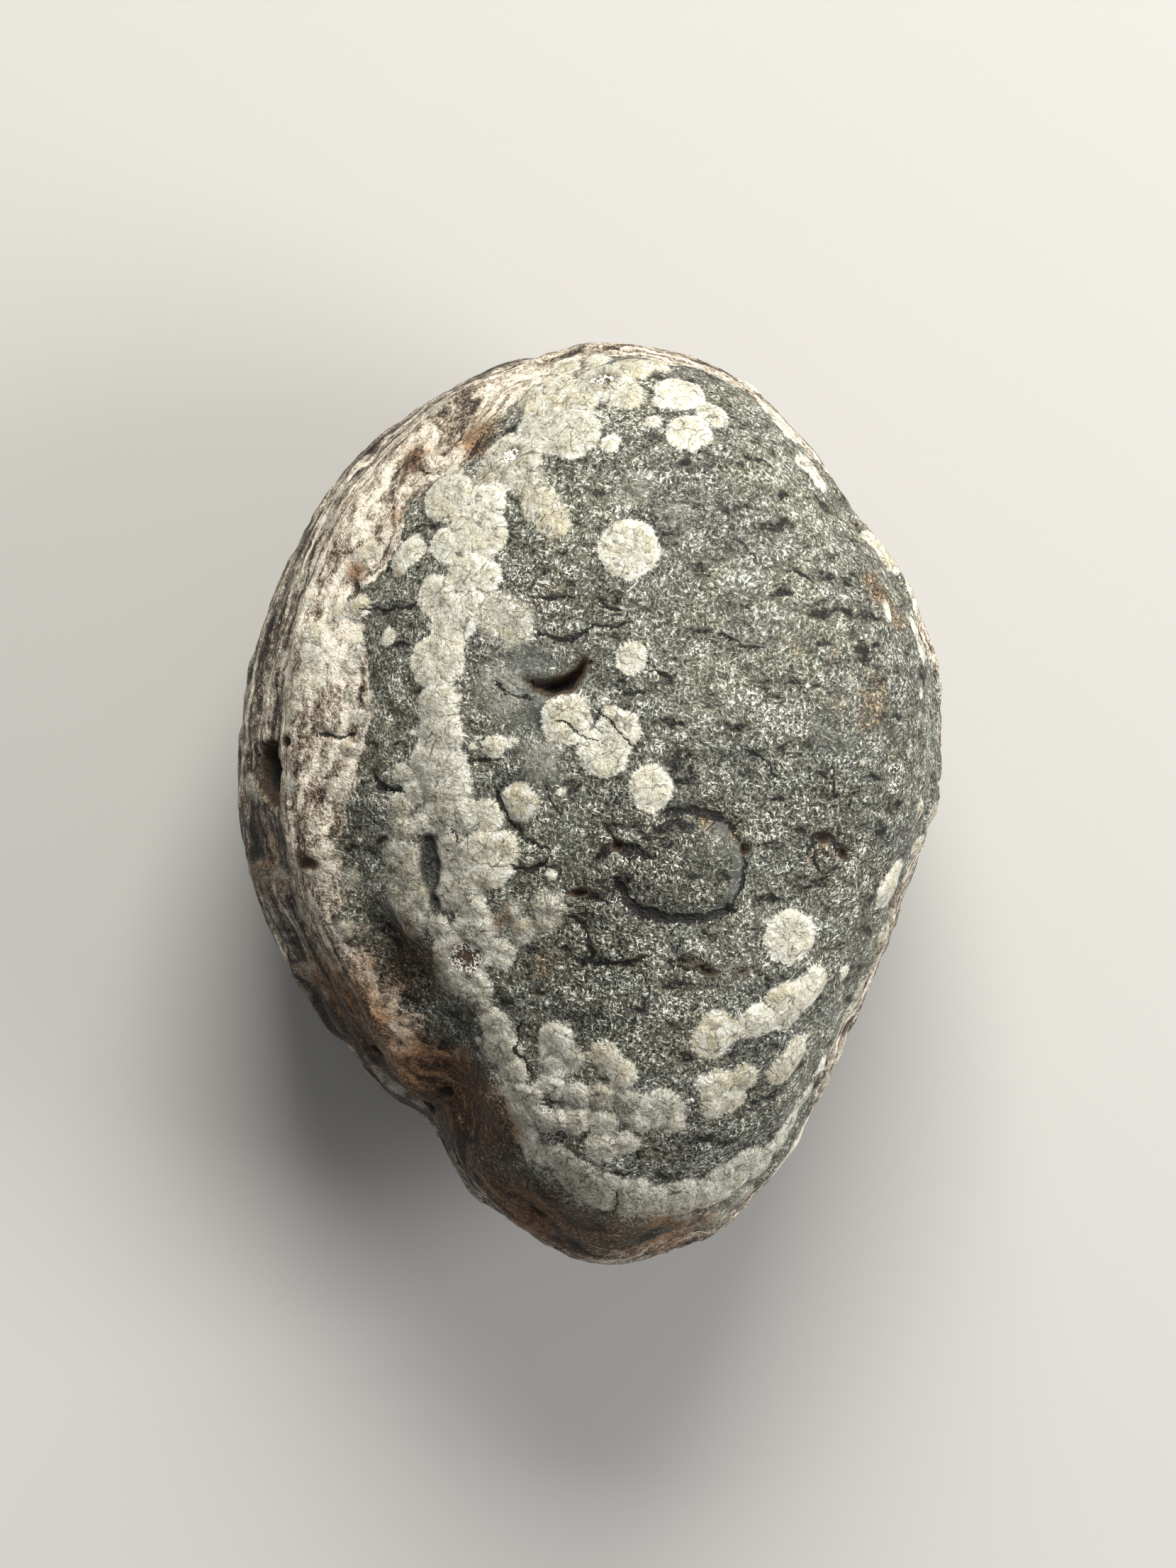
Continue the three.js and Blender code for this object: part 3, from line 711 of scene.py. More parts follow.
@dataclass
class Growths:
    """The spherulites that the surface cuts: named ones on the front, and seeded ones elsewhere."""

    body: StoneBody
    snow: tuple[Spherulite, ...] = (
        *spots(
            Cast.CHALK,
            (1.5, 9.3, 1.13), (1.6, 5.3, 0.58), (2.3, 0.6, 0.83), (7.5, -4.9, 1.0), (-0.8, 3.1, 0.95),
            (1.1, 2.7, 0.82), (0.6, 1.9, 0.95), (-3.4, 2.1, 0.44), (2.4, 14.0, 0.33), (0.85, 13.2, 0.34),
            (-7.35, 6.2, 0.34), (-0.9, 0.45, 0.16), (-1.3, -2.55, 0.18), (4.05, -10.0, 0.2),
            (2.7, -5.8, 0.08), (-2.8, 2.25, 0.2),
        ),
        *spots(Cast.CREAM, (-1.75, 10.9, 0.72), (-1.25, 10.35, 0.62), (-2.5, 0.05, 0.72)),
        *spots(Cast.SOFT, (-1.4, -3.7, 0.55), (-1.5, -4.3, 0.42), (-2.4, -4.65, 0.48)),
        *spots(Cast.SOFT, (-2.75, -3.95, 0.36)),
        *spots(Cast.VEILED, (1.7, 11.5, 0.55), (-1.75, 1.65, 0.56), (-3.3, 4.0, 0.9), (3.2, 10.6, 0.4)),
        chain(Cast.CHALK, 0.52, (-6.9, 8.95), (-6.4, 9.35)),
    )
    crown: tuple[Spherulite, ...] = (
        *spots(Cast.CHALK, (3.4, 15.1, 0.93), (4.6, 14.3, 0.61), (3.7, 13.6, 0.84), (2.7, 14.7, 0.29)),
        *spots(Cast.GREY, (-0.7, 13.55, 1.18), (-2.8, 12.5, 1.16), (0.5, 15.4, 1.1), (-1.8, 13.8, 0.85)),
        *spots(
            Cast.CREAM,
            (-1.5, 14.6, 0.8), (-0.3, 14.7, 0.75), (1.4, 14.95, 0.7), (-1.0, 15.4, 0.7), (1.6, 15.9, 0.75),
            (2.6, 16.1, 0.5), (-0.8, 16.1, 0.55), (0.4, 16.3, 0.5),
        ),
        *spots(Cast.SOFT, (-2.1, 15.0, 0.6), (-5.0, 12.25, 0.32), (-2.2, 11.8, 0.6), (-3.5, 12.0, 0.6)),
    )
    collar: tuple[Spherulite, ...] = (
        *spots(
            Cast.CHALK,
            (-5.1, 11.2, 1.0), (-3.6, 11.1, 0.68), (-4.0, 9.9, 1.12), (-5.1, 9.4, 0.7), (-4.3, 8.4, 0.8),
            (-3.7, 8.3, 0.6), (-5.5, 7.6, 0.75), (-4.8, 6.7, 0.98), (-4.2, 7.3, 0.6), (-5.45, 5.15, 1.05),
        ),
        *spots(
            Cast.GREY,
            (-5.4, 3.6, 0.8), (-5.3, 2.6, 0.88), (-5.2, 0.95, 1.1), (-5.9, 1.6, 0.6), (-6.7, 1.05, 0.42),
            (-6.4, 0.5, 0.45), (-5.3, -0.4, 0.75), (-4.5, -0.4, 0.6), (-4.8, -1.9, 0.88),
            (-4.7, -3.0, 0.92), (-4.2, -3.7, 0.65), (-4.1, -4.6, 0.85), (-5.4, -4.5, 0.5),
            (-4.7, -5.5, 1.05), (-4.8, -6.2, 0.85), (-3.2, -5.45, 0.6), (-4.0, -6.5, 0.6),
            (-6.0, -0.7, 0.4),
        ),
        *spots(Cast.SOFT, (-3.3, 6.9, 0.88), (-2.6, 6.7, 0.68), (-2.9, 6.3, 0.5), (-5.3, -6.5, 0.5)),
        *spots(Cast.CREAM, (-3.6, -2.0, 1.08), (-3.6, -0.4, 0.6), (-3.1, -1.6, 0.6)),
        *spots(Cast.ASH, (-6.9, 0.0, 0.5), (-6.2, -3.5, 0.5), (-6.7, -4.6, 0.4), (-6.7, -0.9, 0.5)),
        chain(Cast.ASH, 0.72, (-6.8, -1.9), (-6.75, -3.2), (-6.5, -4.1)),
    )
    nose: tuple[Spherulite, ...] = (
        *spots(
            Cast.GREY,
            (-3.4, -7.9, 0.58), (-3.1, -8.8, 0.78), (-2.7, -9.6, 0.65), (-1.15, -8.5, 0.7),
            (-1.25, -9.3, 0.55), (-0.6, -9.1, 0.48), (-2.6, -10.3, 0.6), (-2.4, -11.1, 0.65),
            (-2.3, -12.0, 0.55), (-1.9, -12.7, 0.5), (-0.4, -10.4, 0.55), (-0.4, -11.2, 0.55),
            (-1.2, -11.3, 0.7), (-1.0, -12.7, 0.6), (-1.9, -10.6, 0.7), (-1.3, -10.1, 0.55),
            (0.55, -11.4, 0.52), (0.5, -12.2, 0.62), (1.4, -12.1, 0.45), (2.6, -10.9, 0.85),
            (1.9, -11.3, 0.5), (3.0, -11.4, 0.5), (0.5, -13.9, 1.0), (-0.3, -13.4, 0.9), (1.5, -14.2, 1.0),
            (2.5, -14.5, 0.95), (3.4, -14.4, 1.0), (4.5, -14.2, 1.0), (5.2, -13.7, 0.9), (5.8, -13.1, 0.75),
            (6.4, -13.3, 0.6), (-0.8, -12.9, 0.6),
        ),
        *spots(
            Cast.CREAM,
            (4.75, -10.3, 0.72), (5.7, -10.0, 0.52), (4.6, -11.0, 0.5), (5.2, -10.7, 0.62),
            (4.5, -8.55, 0.72), (4.7, -7.95, 0.5), (5.3, -8.25, 0.38), (7.2, -7.4, 0.88),
        ),
        *spots(
            Cast.ASH,
            (0.5, -10.4, 0.5), (1.4, -10.5, 0.5), (4.6, -15.3, 0.6), (3.4, -15.4, 0.6), (5.7, -14.4, 0.5),
            (2.3, -15.4, 0.45), (-4.8, -9.8, 0.45), (-3.9, -7.1, 0.4),
        ),
        chain(Cast.CREAM, 0.55, (0.6, -8.95), (1.25, -9.6)),
        chain(Cast.CHALK, 0.6, (6.1, -7.95), (6.9, -7.6), (7.7, -7.1), (8.3, -6.5)),
        chain(Cast.CREAM, 0.6, (7.1, -9.75), (7.6, -9.1)),
    )
    # partly painted highlight: the pale spots close along the right edge, near x 12, stand partly for real
    # spherulites and partly for a painted highlight where the rim catches the light
    rim: tuple[Spherulite, ...] = (
        *spots(
            Cast.CHALK,
            (11.0, -3.1, 0.75), (11.3, -2.4, 0.4), (8.6, -9.6, 0.4), (9.45, -6.2, 0.32), (12.0, 6.5, 0.45),
            (12.25, 5.5, 0.45), (8.2, 12.6, 0.6), (8.6, 12.0, 0.45), (6.0, 15.3, 0.52), (6.8, 14.4, 0.6),
            (7.3, 13.8, 0.62), (11.8, 7.6, 0.35),
        ),
        *spots(
            Cast.CREAM,
            (10.5, 9.6, 0.55), (11.0, 8.9, 0.55), (12.2, -0.2, 0.4), (12.1, -1.5, 0.45), (10.9, -4.7, 0.42),
            (9.95, -6.8, 0.38), (9.6, -7.6, 0.38), (8.1, -10.7, 0.45),
        ),
        *spots(Cast.GREY, (7.5, -11.7, 0.5), (7.1, -12.3, 0.55), (6.6, -12.7, 0.5), (7.9, -11.0, 0.4)),
        chain(Cast.CHALK, 0.2, (10.9, 7.35), (11.0, 6.8)),
    )
    shoulder: tuple[Spherulite, ...] = (
        *spots(
            Cast.CREAM,
            (-10.0, 5.35, 0.5), (-9.9, 6.15, 0.36), (-8.8, 4.1, 0.26), (-8.55, 3.3, 0.34),
            (-8.6, 5.9, 0.34), (-8.8, 5.2, 0.3), (-8.5, 7.3, 0.5), (-9.2, 7.0, 0.4), (-8.9, 2.1, 0.3),
            (-8.3, 9.0, 0.42), (-7.9, 9.5, 0.3), (-9.7, 4.4, 0.3),
        ),
        *spots(
            Cast.SOFT,
            (-10.2, 7.4, 0.4), (-10.6, 6.2, 0.35), (-9.4, 0.6, 0.3), (-9.5, -1.7, 0.35), (-8.9, -2.8, 0.3),
            (-8.9, -4.6, 0.36), (-11.0, 4.3, 0.3), (-10.6, 3.4, 0.35),
        ),
    )
    first_deep_layer: float = 12.4
    last_deep_layer: float = 20.0
    flank_depths: Point = (5.0, 12.2)
    speck_depths: Point = (0.0, 4.2)
    back_spots: int = 150
    flank_spots: int = 150
    speck_spots: int = 60
    back_radii: Point = (0.35, 1.15)
    flank_radii: Point = (0.22, 0.5)
    speck_radii: Point = (0.06, 0.13)
    crowd_reach: float = 1.1
    lone_share: float = 0.16
    crowd_casts: tuple[Cast, ...] = (Cast.GREY, Cast.CREAM, Cast.GREY)
    lone_casts: tuple[Cast, ...] = (Cast.CHALK, Cast.CREAM, Cast.VEILED)
    seed: int = 17

    def named(self) -> list[Spherulite]:
        """The front's own spherulites."""
        return [*self.snow, *self.crown, *self.collar, *self.nose, *self.rim, *self.shoulder]

    def _darts(self, rng: np.random.Generator, shallow: float, deep: float, count: int) -> Array:
        """Throws seeded places on the surface, and keeps those between two depths in the pile of layers.

        Args:
            rng: the source of chance.
            shallow: the upper depth.
            deep: the lower depth.
            count: how many places are kept at most.

        Returns:
            Points on the smooth surface, one a row.
        """
        directions = unit(rng.normal(size=(count * 14, 3)) * np.array([13.0, 17.0, 9.0]))
        places = self.body.surface(directions)
        depth = self.body.layer_depth(places)
        return places[(depth > shallow) & (depth < deep)][:count]

    def placed(self) -> list[tuple[Array, float, Cast]]:
        """Every spherulite as a path on the surface, a radius and a cast.

        The back's crowd along the first deep layer and thin out past it. The flanks' are small, and lie in
        the pale layers.

        Returns:
            The spherulites, the front's first.
        """
        rng = np.random.default_rng(self.seed)
        placed = [
            (self.body.lay(np.array(s.path, float), Side.FRONT), s.radius, s.cast) for s in self.named()
        ]
        for place in self._darts(rng, self.first_deep_layer, self.last_deep_layer, self.back_spots):
            past = self.body.layer_depth(place[None])[0] - self.first_deep_layer
            crowd = math.exp(-past / self.crowd_reach)
            if rng.random() > self.lone_share + crowd:
                continue
            radius = float(rng.uniform(*self.back_radii))
            casts = self.crowd_casts if crowd > 0.4 else self.lone_casts
            placed.append((place[None], radius, casts[int(rng.integers(3))]))
        for place in self._darts(rng, *self.flank_depths, self.flank_spots):
            placed.append((place[None], float(rng.uniform(*self.flank_radii)), Cast.ASH))
        for place in self._darts(rng, *self.speck_depths, self.speck_spots):
            placed.append((place[None], float(rng.uniform(*self.speck_radii)), Cast.CHALK))
        return placed


@dataclass
class NearestGrowth:
    """What each vertex knows of the spherulites near it.

    A depth is a radius less the distance from the middle, so it is above 0 inside. The four beds hold the
    depths of spherulites that don't touch one another, so that where two meet, their beds cross cleanly.
    """

    beds: Array
    ray: Array
    cast: Array

    @classmethod
    def of(cls, points: Array, placed: list[tuple[Array, float, Cast]]) -> "NearestGrowth":
        """Works out the beds, and each vertex's own spherulite.

        Args:
            points: vertices.
            placed: each spherulite's path, radius and cast.

        Returns:
            The vertices' depths in the beds, vectors from their own spherulite's middle, and its cast.
        """
        middles = np.array([path.mean(axis=0) for path, _, _ in placed])
        reaches = [np.linalg.norm(path - path.mean(axis=0), axis=1).max() for path, _, _ in placed]
        spans = np.array([radius + reach for (_, radius, _), reach in zip(placed, reaches)])
        bed_of = np.zeros(len(placed), int)
        beds = np.full((len(points), 4), -3.0)
        best = np.full(len(points), -FAR)
        ray = np.zeros((len(points), 3))
        cast = np.zeros((len(points), 4))
        shades = np.random.default_rng(5).random(len(placed))
        for i, (path, radius, look) in enumerate(placed):
            overlap = spans[:i] + spans[i] - np.linalg.norm(middles[:i] - middles[i], axis=1)
            worst = [overlap[bed_of[:i] == bed].max(initial=-FAR) for bed in range(4)]
            bed_of[i] = int(np.argmin(np.round(worst, 2)))
            near = np.flatnonzero(np.abs(points - middles[i]).max(axis=1) < spans[i] + 3.0)
            if len(path) == 1:
                place, far = path[0], np.linalg.norm(points[near] - path[0], axis=1)
                nearest = np.tile(place, (len(near), 1))
            else:
                runs = [distance_to_segment(points[near], *ends) for ends in zip(path, path[1:])]
                pick = np.argmin([run[0] for run in runs], axis=0)
                far = np.min([run[0] for run in runs], axis=0)
                nearest = np.stack([run[1] for run in runs])[pick, np.arange(len(near))]
            depth = radius - far
            beds[near, bed_of[i]] = np.maximum(beds[near, bed_of[i]], depth)
            own = depth > best[near]
            mine = near[own]
            best[mine] = depth[own]
            ray[mine] = points[mine] - nearest[own]
            cast[mine] = (*look.value, shades[i])
        return cls(beds, ray, cast)


@dataclass(frozen=True)
class Patch:
    """A round patch of the surface, with how strong it is in the middle."""

    at: Point
    reach: float
    strength: float
    side: Side


def patches(*rows: tuple[float, float, float, float], side: Side = Side.FRONT) -> tuple[Patch, ...]:
    """Patches of one face, each given as x, y, reach and strength."""
    return tuple(Patch((x, y), reach, strength, side) for x, y, reach, strength in rows)


def patched(start: Array, body: StoneBody, points: Array, soft: tuple[Patch, ...]) -> Array:
    """Adds soft-edged patches to a number of each point's: strength * (1 - d^2)^2, d being far / reach.

    Args:
        start: the points' numbers.
        body: the stone that the patches are laid on.
        points: places on its smooth surface, one a row.
        soft: the patches.

    Returns:
        The sums.
    """
    for patch in soft:
        middle = body.lay(np.array([patch.at], float), patch.side)[0]
        start = start + patch.strength * bump(np.linalg.norm(points - middle, axis=1) / patch.reach)
    return start


@dataclass
class Weathering:
    """Where the stone is stained, where its glass is worn smooth and where it is frosted.

    The brownish soil patches are partly real soiling and partly painted shade with a painted warm
    reflection. The flank paling is partly real, partly painted light on the upper left, and painted shade
    where it darkens the lower left.
    """

    body: StoneBody
    rust: tuple[Patch, ...] = (
        *patches(
            (10.45, 8.2, 1.2, 1.0), (10.9, 7.5, 0.9, 0.7), (11.4, 6.7, 1.0, 1.0), (10.6, 4.1, 1.0, 0.7),
            (10.4, 3.1, 1.0, 0.6), (7.6, 5.6, 0.8, 0.6), (8.9, 5.4, 0.7, 0.45), (9.6, 3.6, 2.4, 0.3),
            (10.2, 6.4, 2.2, 0.25), (6.6, 11.4, 0.9, 0.3), (8.4, -1.9, 0.9, 0.6), (9.0, -1.2, 0.7, 0.6),
            (4.3, -0.45, 0.7, 0.9), (5.35, -1.15, 0.6, 0.9), (3.7, -7.8, 0.6, 0.6), (-1.6, -5.9, 1.1, 0.9),
            (-3.0, -4.1, 1.2, 0.75), (-3.8, 13.9, 1.3, 0.8), (-5.2, 12.9, 1.4, 0.45), (-6.9, 8.1, 0.9, 0.5),
            (-7.6, -8.2, 0.8, 1.3), (-10.0, -2.4, 0.5, 0.8), (-6.8, -10.2, 1.4, 0.6),
            (-1.3, -11.9, 0.8, 0.6), (-1.0, 4.6, 0.9, 0.5), (6.6, 10.0, 1.2, 0.3), (-9.6, 2.6, 0.6, 0.5),
        ),
        *patches(
            (4.4, 5.0, 2.0, 0.6), (-4.6, -1.5, 2.4, 0.5), (1.2, -10.0, 1.8, 0.6), (-5.0, 6.5, 1.4, 0.8),
            (2.0, 11.4, 1.6, 0.5),
            side=Side.BACK,
        ),
    )
    smooth: tuple[Patch, ...] = (
        *patches(
            (-2.2, 4.6, 2.0, 0.9), (-2.4, 3.0, 1.6, 0.6), (-1.6, 1.2, 1.5, 0.6), (4.6, -1.7, 1.5, 0.4),
            (9.4, 2.6, 2.2, 0.35), (-8.0, 7.2, 1.0, 0.4), (-1.0, -1.2, 1.6, 0.3),
        ),
        *patches(
            (3.0, 3.0, 2.6, 0.6), (-2.6, -6.4, 2.2, 0.6),
            side=Side.BACK,
        ),
    )
    frosted: tuple[Patch, ...] = (
        *patches(
            (6.0, 7.0, 6.5, 0.35), (9.4, -0.2, 4.5, -0.3), (3.8, 3.6, 1.8, 0.35), (7.6, 6.8, 1.0, 0.4),
            (7.0, 12.5, 3.0, 0.3), (0.6, -2.6, 4.5, -0.5), (3.7, -2.4, 2.4, -0.7), (1.0, -1.6, 1.2, 0.5),
            (0.5, -7.0, 4.0, -0.5), (4.6, -11.6, 3.2, -0.5), (-6.8, -6.2, 2.6, -0.7),
            (-4.6, -8.3, 1.9, -0.9), (-3.1, -12.0, 1.3, -0.7), (-3.6, -13.0, 3.6, -0.5),
            (-7.4, 3.0, 2.6, 0.25), (-2.0, 8.4, 1.8, -0.3),
        ),
        *patches(
            (-4.0, 8.0, 5.0, 0.6), (5.2, -4.4, 5.0, 0.6), (4.0, 9.0, 4.0, -0.6), (-5.0, -8.0, 4.0, -0.6),
            side=Side.BACK,
        ),
    )
    # painted shade: these brownish patches, heaviest on the lower left, are partly real soiling and partly
    # painted shade with a painted warm reflection
    grime_and_shade: tuple[Patch, ...] = patches(
        (-4.8, -11.2, 3.8, 1.2), (-3.1, -12.0, 1.8, 0.6), (-3.0, -14.4, 3.0, 0.9),
        (-8.8, -8.0, 4.8, 0.9), (-0.8, -15.6, 3.4, 0.9), (3.0, -15.8, 3.4, 0.7),
        (-12.0, -2.0, 3.4, 0.5), (-6.6, -5.8, 2.6, 0.6), (0.8, -3.4, 2.8, 0.35), (3.0, -12.4, 2.4, 0.3),
        (-1.8, 7.6, 1.6, 0.2), (-7.0, 7.0, 1.6, 0.3), (-4.0, 13.4, 1.4, 0.8), (-6.4, 12.7, 1.2, 0.7),
        (-8.5, 8.6, 0.8, 0.8), (-7.0, 10.6, 0.9, 0.5),
    )
    # painted light and shade: above 0 these patches pale the flank layers, partly real paling and partly
    # painted light on the upper left; below 0 they darken the lower left as painted shade
    paled_lit_and_shaded: tuple[Patch, ...] = patches(
        (-8.8, 9.6, 6.0, 0.7), (-4.6, 14.4, 5.0, 0.2), (-9.0, 5.0, 4.0, 0.7), (-11.0, 4.0, 4.0, 0.4),
        (-12.4, -0.8, 3.0, -0.8), (-8.6, -8.6, 4.6, -0.4), (-4.4, -12.6, 4.4, -0.9),
        (0.4, -16.0, 4.0, -0.8),
    )

    def amount(self, points: Array, worn: tuple[Patch, ...]) -> Array:
        """How far each point is inside patches, whose strengths add up."""
        return patched(np.zeros(len(points)), self.body, points, worn)


@dataclass
class Layering:
    """The pile of flow layers as the surface shows it, with the places where they wave up or down."""

    body: StoneBody
    waves: tuple[Patch, ...] = patches(
        (-8.2, 3.6, 4.8, 0.75), (-7.7, 9.6, 2.2, 0.75), (-7.2, 7.6, 1.2, -0.4),
        (-8.3, -5.2, 5.5, -0.42), (-1.2, 15.8, 3.6, 0.8), (-1.2, -14.8, 3.2, 1.0),
        (-6.2, 11.2, 3.0, 0.5), (-5.0, 12.4, 2.2, 0.8), (-4.2, 13.8, 2.8, 1.2), (3.4, -16.0, 2.6, 0.9),
        (12.8, 2.0, 6.0, -1.1), (11.4, -5.4, 5.0, -0.9), (9.6, 10.6, 5.0, -0.9),
        (7.6, -12.2, 4.0, -0.6),
    )

    def depth(self, points: Array) -> Array:
        """How deep points lie in the pile of layers, waves and all."""
        return patched(self.body.layer_depth(points), self.body, points, self.waves)


@dataclass
class Pebble:
    """The stone as one closed mesh, with what its finish needs to know at each vertex."""

    body: StoneBody
    hollows: Hollows
    growths: Growths
    weathering: Weathering
    cells: tuple[int, int, int] = (130, 170, 88)
    box: tuple[float, float, float] = (13.0, 17.0, 9.0)
    spread: float = 0.7
    lump_size: float = 1.6
    lump_height: float = 0.07
    dent_size: float = 0.8
    dent_height: float = 0.12
    growth_rise: float = 0.11
    growth_edge: Point = (-0.1, 0.35)
    seam_groove: float = 0.06
    seam_width: float = 0.35
    least_crack: float = 0.2
    crack_grasp: float = 0.7
    streak_height: float = 0.12
    flank_layers: Point = (4.2, 13.0)
    clearance: float = 0.004

    def _index(self) -> Array:
        """Numbers the points of a box's lattice that lie on its surface.

        Returns:
            An array of the lattice's shape, with -1 for the points inside.
        """
        shape = tuple(count + 1 for count in self.cells)
        places = np.indices(shape)
        outer = np.zeros(shape, bool)
        for axis, count in enumerate(self.cells):
            outer |= (places[axis] == 0) | (places[axis] == count)
        index = np.full(shape, -1)
        index[outer] = np.arange(int(outer.sum()))
        return index

    def directions(self, index: Array) -> Array:
        """Unit vectors through the lattice points, spaced as tan(spread * u) / tan(spread)."""
        at = np.argwhere(index >= 0) / np.array(self.cells) * 2.0 - 1.0
        return unit(np.tan(self.spread * at) / math.tan(self.spread) * np.array(self.box))

    def quads(self, index: Array) -> Array:
        """The box's six sides as quads of lattice points.

        Args:
            index: the lattice points' numbers.

        Returns:
            Four numbers a row, wound to face outwards.
        """
        sides = []
        for axis in range(3):
            for end in (0, -1):
                grid = np.take(index, end, axis=axis)
                ring = [grid[:-1, :-1], grid[1:, :-1], grid[1:, 1:], grid[:-1, 1:]]
                if (end == 0) != (axis == 1):
                    ring.reverse()
                sides.append(np.stack([corner.ravel() for corner in ring], axis=1))
        return np.concatenate(sides)

    def _on_flank(self, points: Array) -> Array:
        """How far each point is among the layers of the stone's flanks, from 0 to 1."""
        depth, (shallow, deep) = self.body.layer_depth(points), self.flank_layers
        return ramp(depth, shallow, shallow + 0.5) * (1.0 - ramp(depth, deep - 0.8, deep))

    def _streaks(self, points: Array) -> Array:
        """Ridges along the layers, from about -1 to 1: noise stretched five times along them."""
        flat, pile = points[:, :2] / 5.0, self.body.layer_depth(points) + points[:, 2] / 8.0
        return Rough.layered(np.column_stack([flat, pile]), 0.5, 3, 301)

    def fine_relief(self, points: Array, near: NearestGrowth) -> Array:
        """How far the fine surface stands out from the smooth one.

        It adds up lumps, rounded spherulites with grooves where they meet, ridges along the layers, chips,
        cracks, vugs and the crescent pit, and dies out where the stone rests.

        Args:
            points: places on the smooth surface.
            near: what they know of the spherulites.

        Returns:
            A height for each vertex.
        """
        flank = self._on_flank(points)
        height = self.lump_height * Rough.layered(points, self.lump_size, 3, 11)
        height += self.dent_height * np.minimum(Rough.layered(points, self.dent_size, 2, 57) + 0.25, 0.0)
        inner = np.sort(near.beds, axis=1)
        seam = inner[:, 3] - inner[:, 2]
        inside = ramp(inner[:, 3], *self.growth_edge)
        height += self.growth_rise * inside * (1.0 - 0.6 * flank)
        height -= self.seam_groove * inside * (1.0 - ramp(seam, 0.0, self.seam_width))
        height += self.streak_height * flank * self._streaks(points)
        height -= self.hollows.chip_depth(points) * (1.0 - 0.5 * inside)
        for crack, path in self.hollows.crack_paths():
            far = distance_to_path(points, path)
            width = max(crack.mouth, self.least_crack)
            height -= crack.deep * np.clip(1.0 - far / width, 0.0, 1.0)
        hollow = self.hollows.crescent_depth(points)[0]
        for vug in self.hollows.vugs():
            hollow = np.maximum(hollow, self.hollows.vug_depth(points, vug))
        return (height - hollow) * ramp(points[:, 2], 0.0, 0.8)

    def crack_cut(self, points: Array) -> tuple[Array, Array]:
        """Where each point lies across its nearest crack.

        Args:
            points: places on the smooth surface.

        Returns:
            The signed distance from the crack's line, and half its mouth, which narrows to 0 past its ends.
        """
        up = self.body.outward(points)
        best = np.full(len(points), self.crack_grasp)
        across = np.full(len(points), FAR)
        half = np.zeros(len(points))
        for crack, path in self.hollows.crack_paths():
            for start, end in zip(path[:-1], path[1:]):
                far, nearest = distance_to_segment(points, start, end)
                mine = far < best
                run = unit(end - start)
                offset = (points - nearest)[mine]
                side = unit(np.cross(run, up[mine]))
                across[mine] = np.sum(offset * side, axis=1)
                past = np.abs(offset @ run)
                half[mine] = crack.mouth / 2 * (1.0 - ramp(past, 0.0, 0.35))
                best[mine] = far[mine]
        return across, half

    def ring_crescent(self, points: Array) -> Array:
        """Depth inside the glassy crescent of the percussion ring: one circle less another shifted left.

        Args:
            points: places on the smooth surface.

        Returns:
            Depths, below 0 outside the crescent.
        """
        ring, shift = self.hollows, self.hollows.scar_width
        outer = self.body.lay(np.array([ring.ring_centre]), Side.FRONT)[0]
        inner = self.body.lay(np.array([ring.ring_centre]) - (shift, 0.0), Side.FRONT)[0]
        in_outer = ring.ring_radius - 0.06 - np.linalg.norm(points - outer, axis=1)
        out_of_inner = np.linalg.norm(points - inner, axis=1) - (ring.ring_radius - shift)
        return np.minimum(in_outer, out_of_inner)

    def hollow_inset(self, points: Array) -> tuple[Array, Array, Array]:
        """Where each point lies in the open bubbles and the crescent pit.

        Args:
            points: places on the smooth surface.

        Returns:
            How far inside the nearest edge it is, below 0 outside; that hollow's fill; and how near the
            pit's lower edge it is, where a pale line is painted that is partly stain and partly painted
            highlight.
        """
        _, inset, edge = self.hollows.crescent_depth(points)
        inset = np.maximum(inset, -2.0)
        fill = np.full(len(points), Fill.DIRT_AND_SHADE.value)
        for vug in self.hollows.vugs():
            own = (1.0 - self.hollows.vug_share(points, vug)) * min(vug.across, vug.along) / 2
            fill = np.where(own > inset, vug.fill.value, fill)
            inset = np.maximum(inset, own)
        return inset, fill, edge

    def settle(self, points: Array, smooth: Array) -> Array:
        """Puts the points where the solid is: centred, inside its box, and standing on the floor.

        The smooth surface is centred over the origin. Then one scale for all three axes brings the fine
        surface inside the box.

        Args:
            points: vertices with their fine relief.
            smooth: the same vertices without it.

        Returns:
            The settled points, in millimetres.
        """
        low, high = (np.array(corner) / MM for corner in CAD_BOX)
        middle = (smooth.min(axis=0) + smooth.max(axis=0)) / 2.0
        target = (low + high) / 2.0
        moved = points + np.array([target[0] - middle[0], target[1] - middle[1], 0.0])
        reach_up = (high - self.clearance - target)[:2] / (moved.max(axis=0) - target)[:2]
        reach_down = (target - low - self.clearance)[:2] / (target - moved.min(axis=0))[:2]
        tall = (high[2] - self.clearance) / moved[:, 2].max()
        scale = min(1.0, float(reach_up.min()), float(reach_down.min()), float(tall))
        centre = np.array([target[0], target[1], 0.0])
        settled = centre + (moved - centre) * scale
        settled[:, 2] = np.maximum(settled[:, 2], 0.0)
        return settled

    def _attach(self, mesh: bpy.types.Mesh, name: str, *columns: Array) -> None:
        """Stores one number, a vector of three or a colour of four for each vertex.

        Args:
            mesh: the stone's mesh.
            name: what the finish calls the attribute.
            columns: one, three or four arrays, with one number for each vertex.
        """
        kinds = {1: ("FLOAT", "value"), 3: ("FLOAT_VECTOR", "vector"), 4: ("FLOAT_COLOR", "color")}
        kind, slot = kinds[len(columns)]
        data = np.stack(columns, axis=1).astype(np.float32)
        mesh.attributes.new(name, kind, "POINT").data.foreach_set(slot, data.ravel())

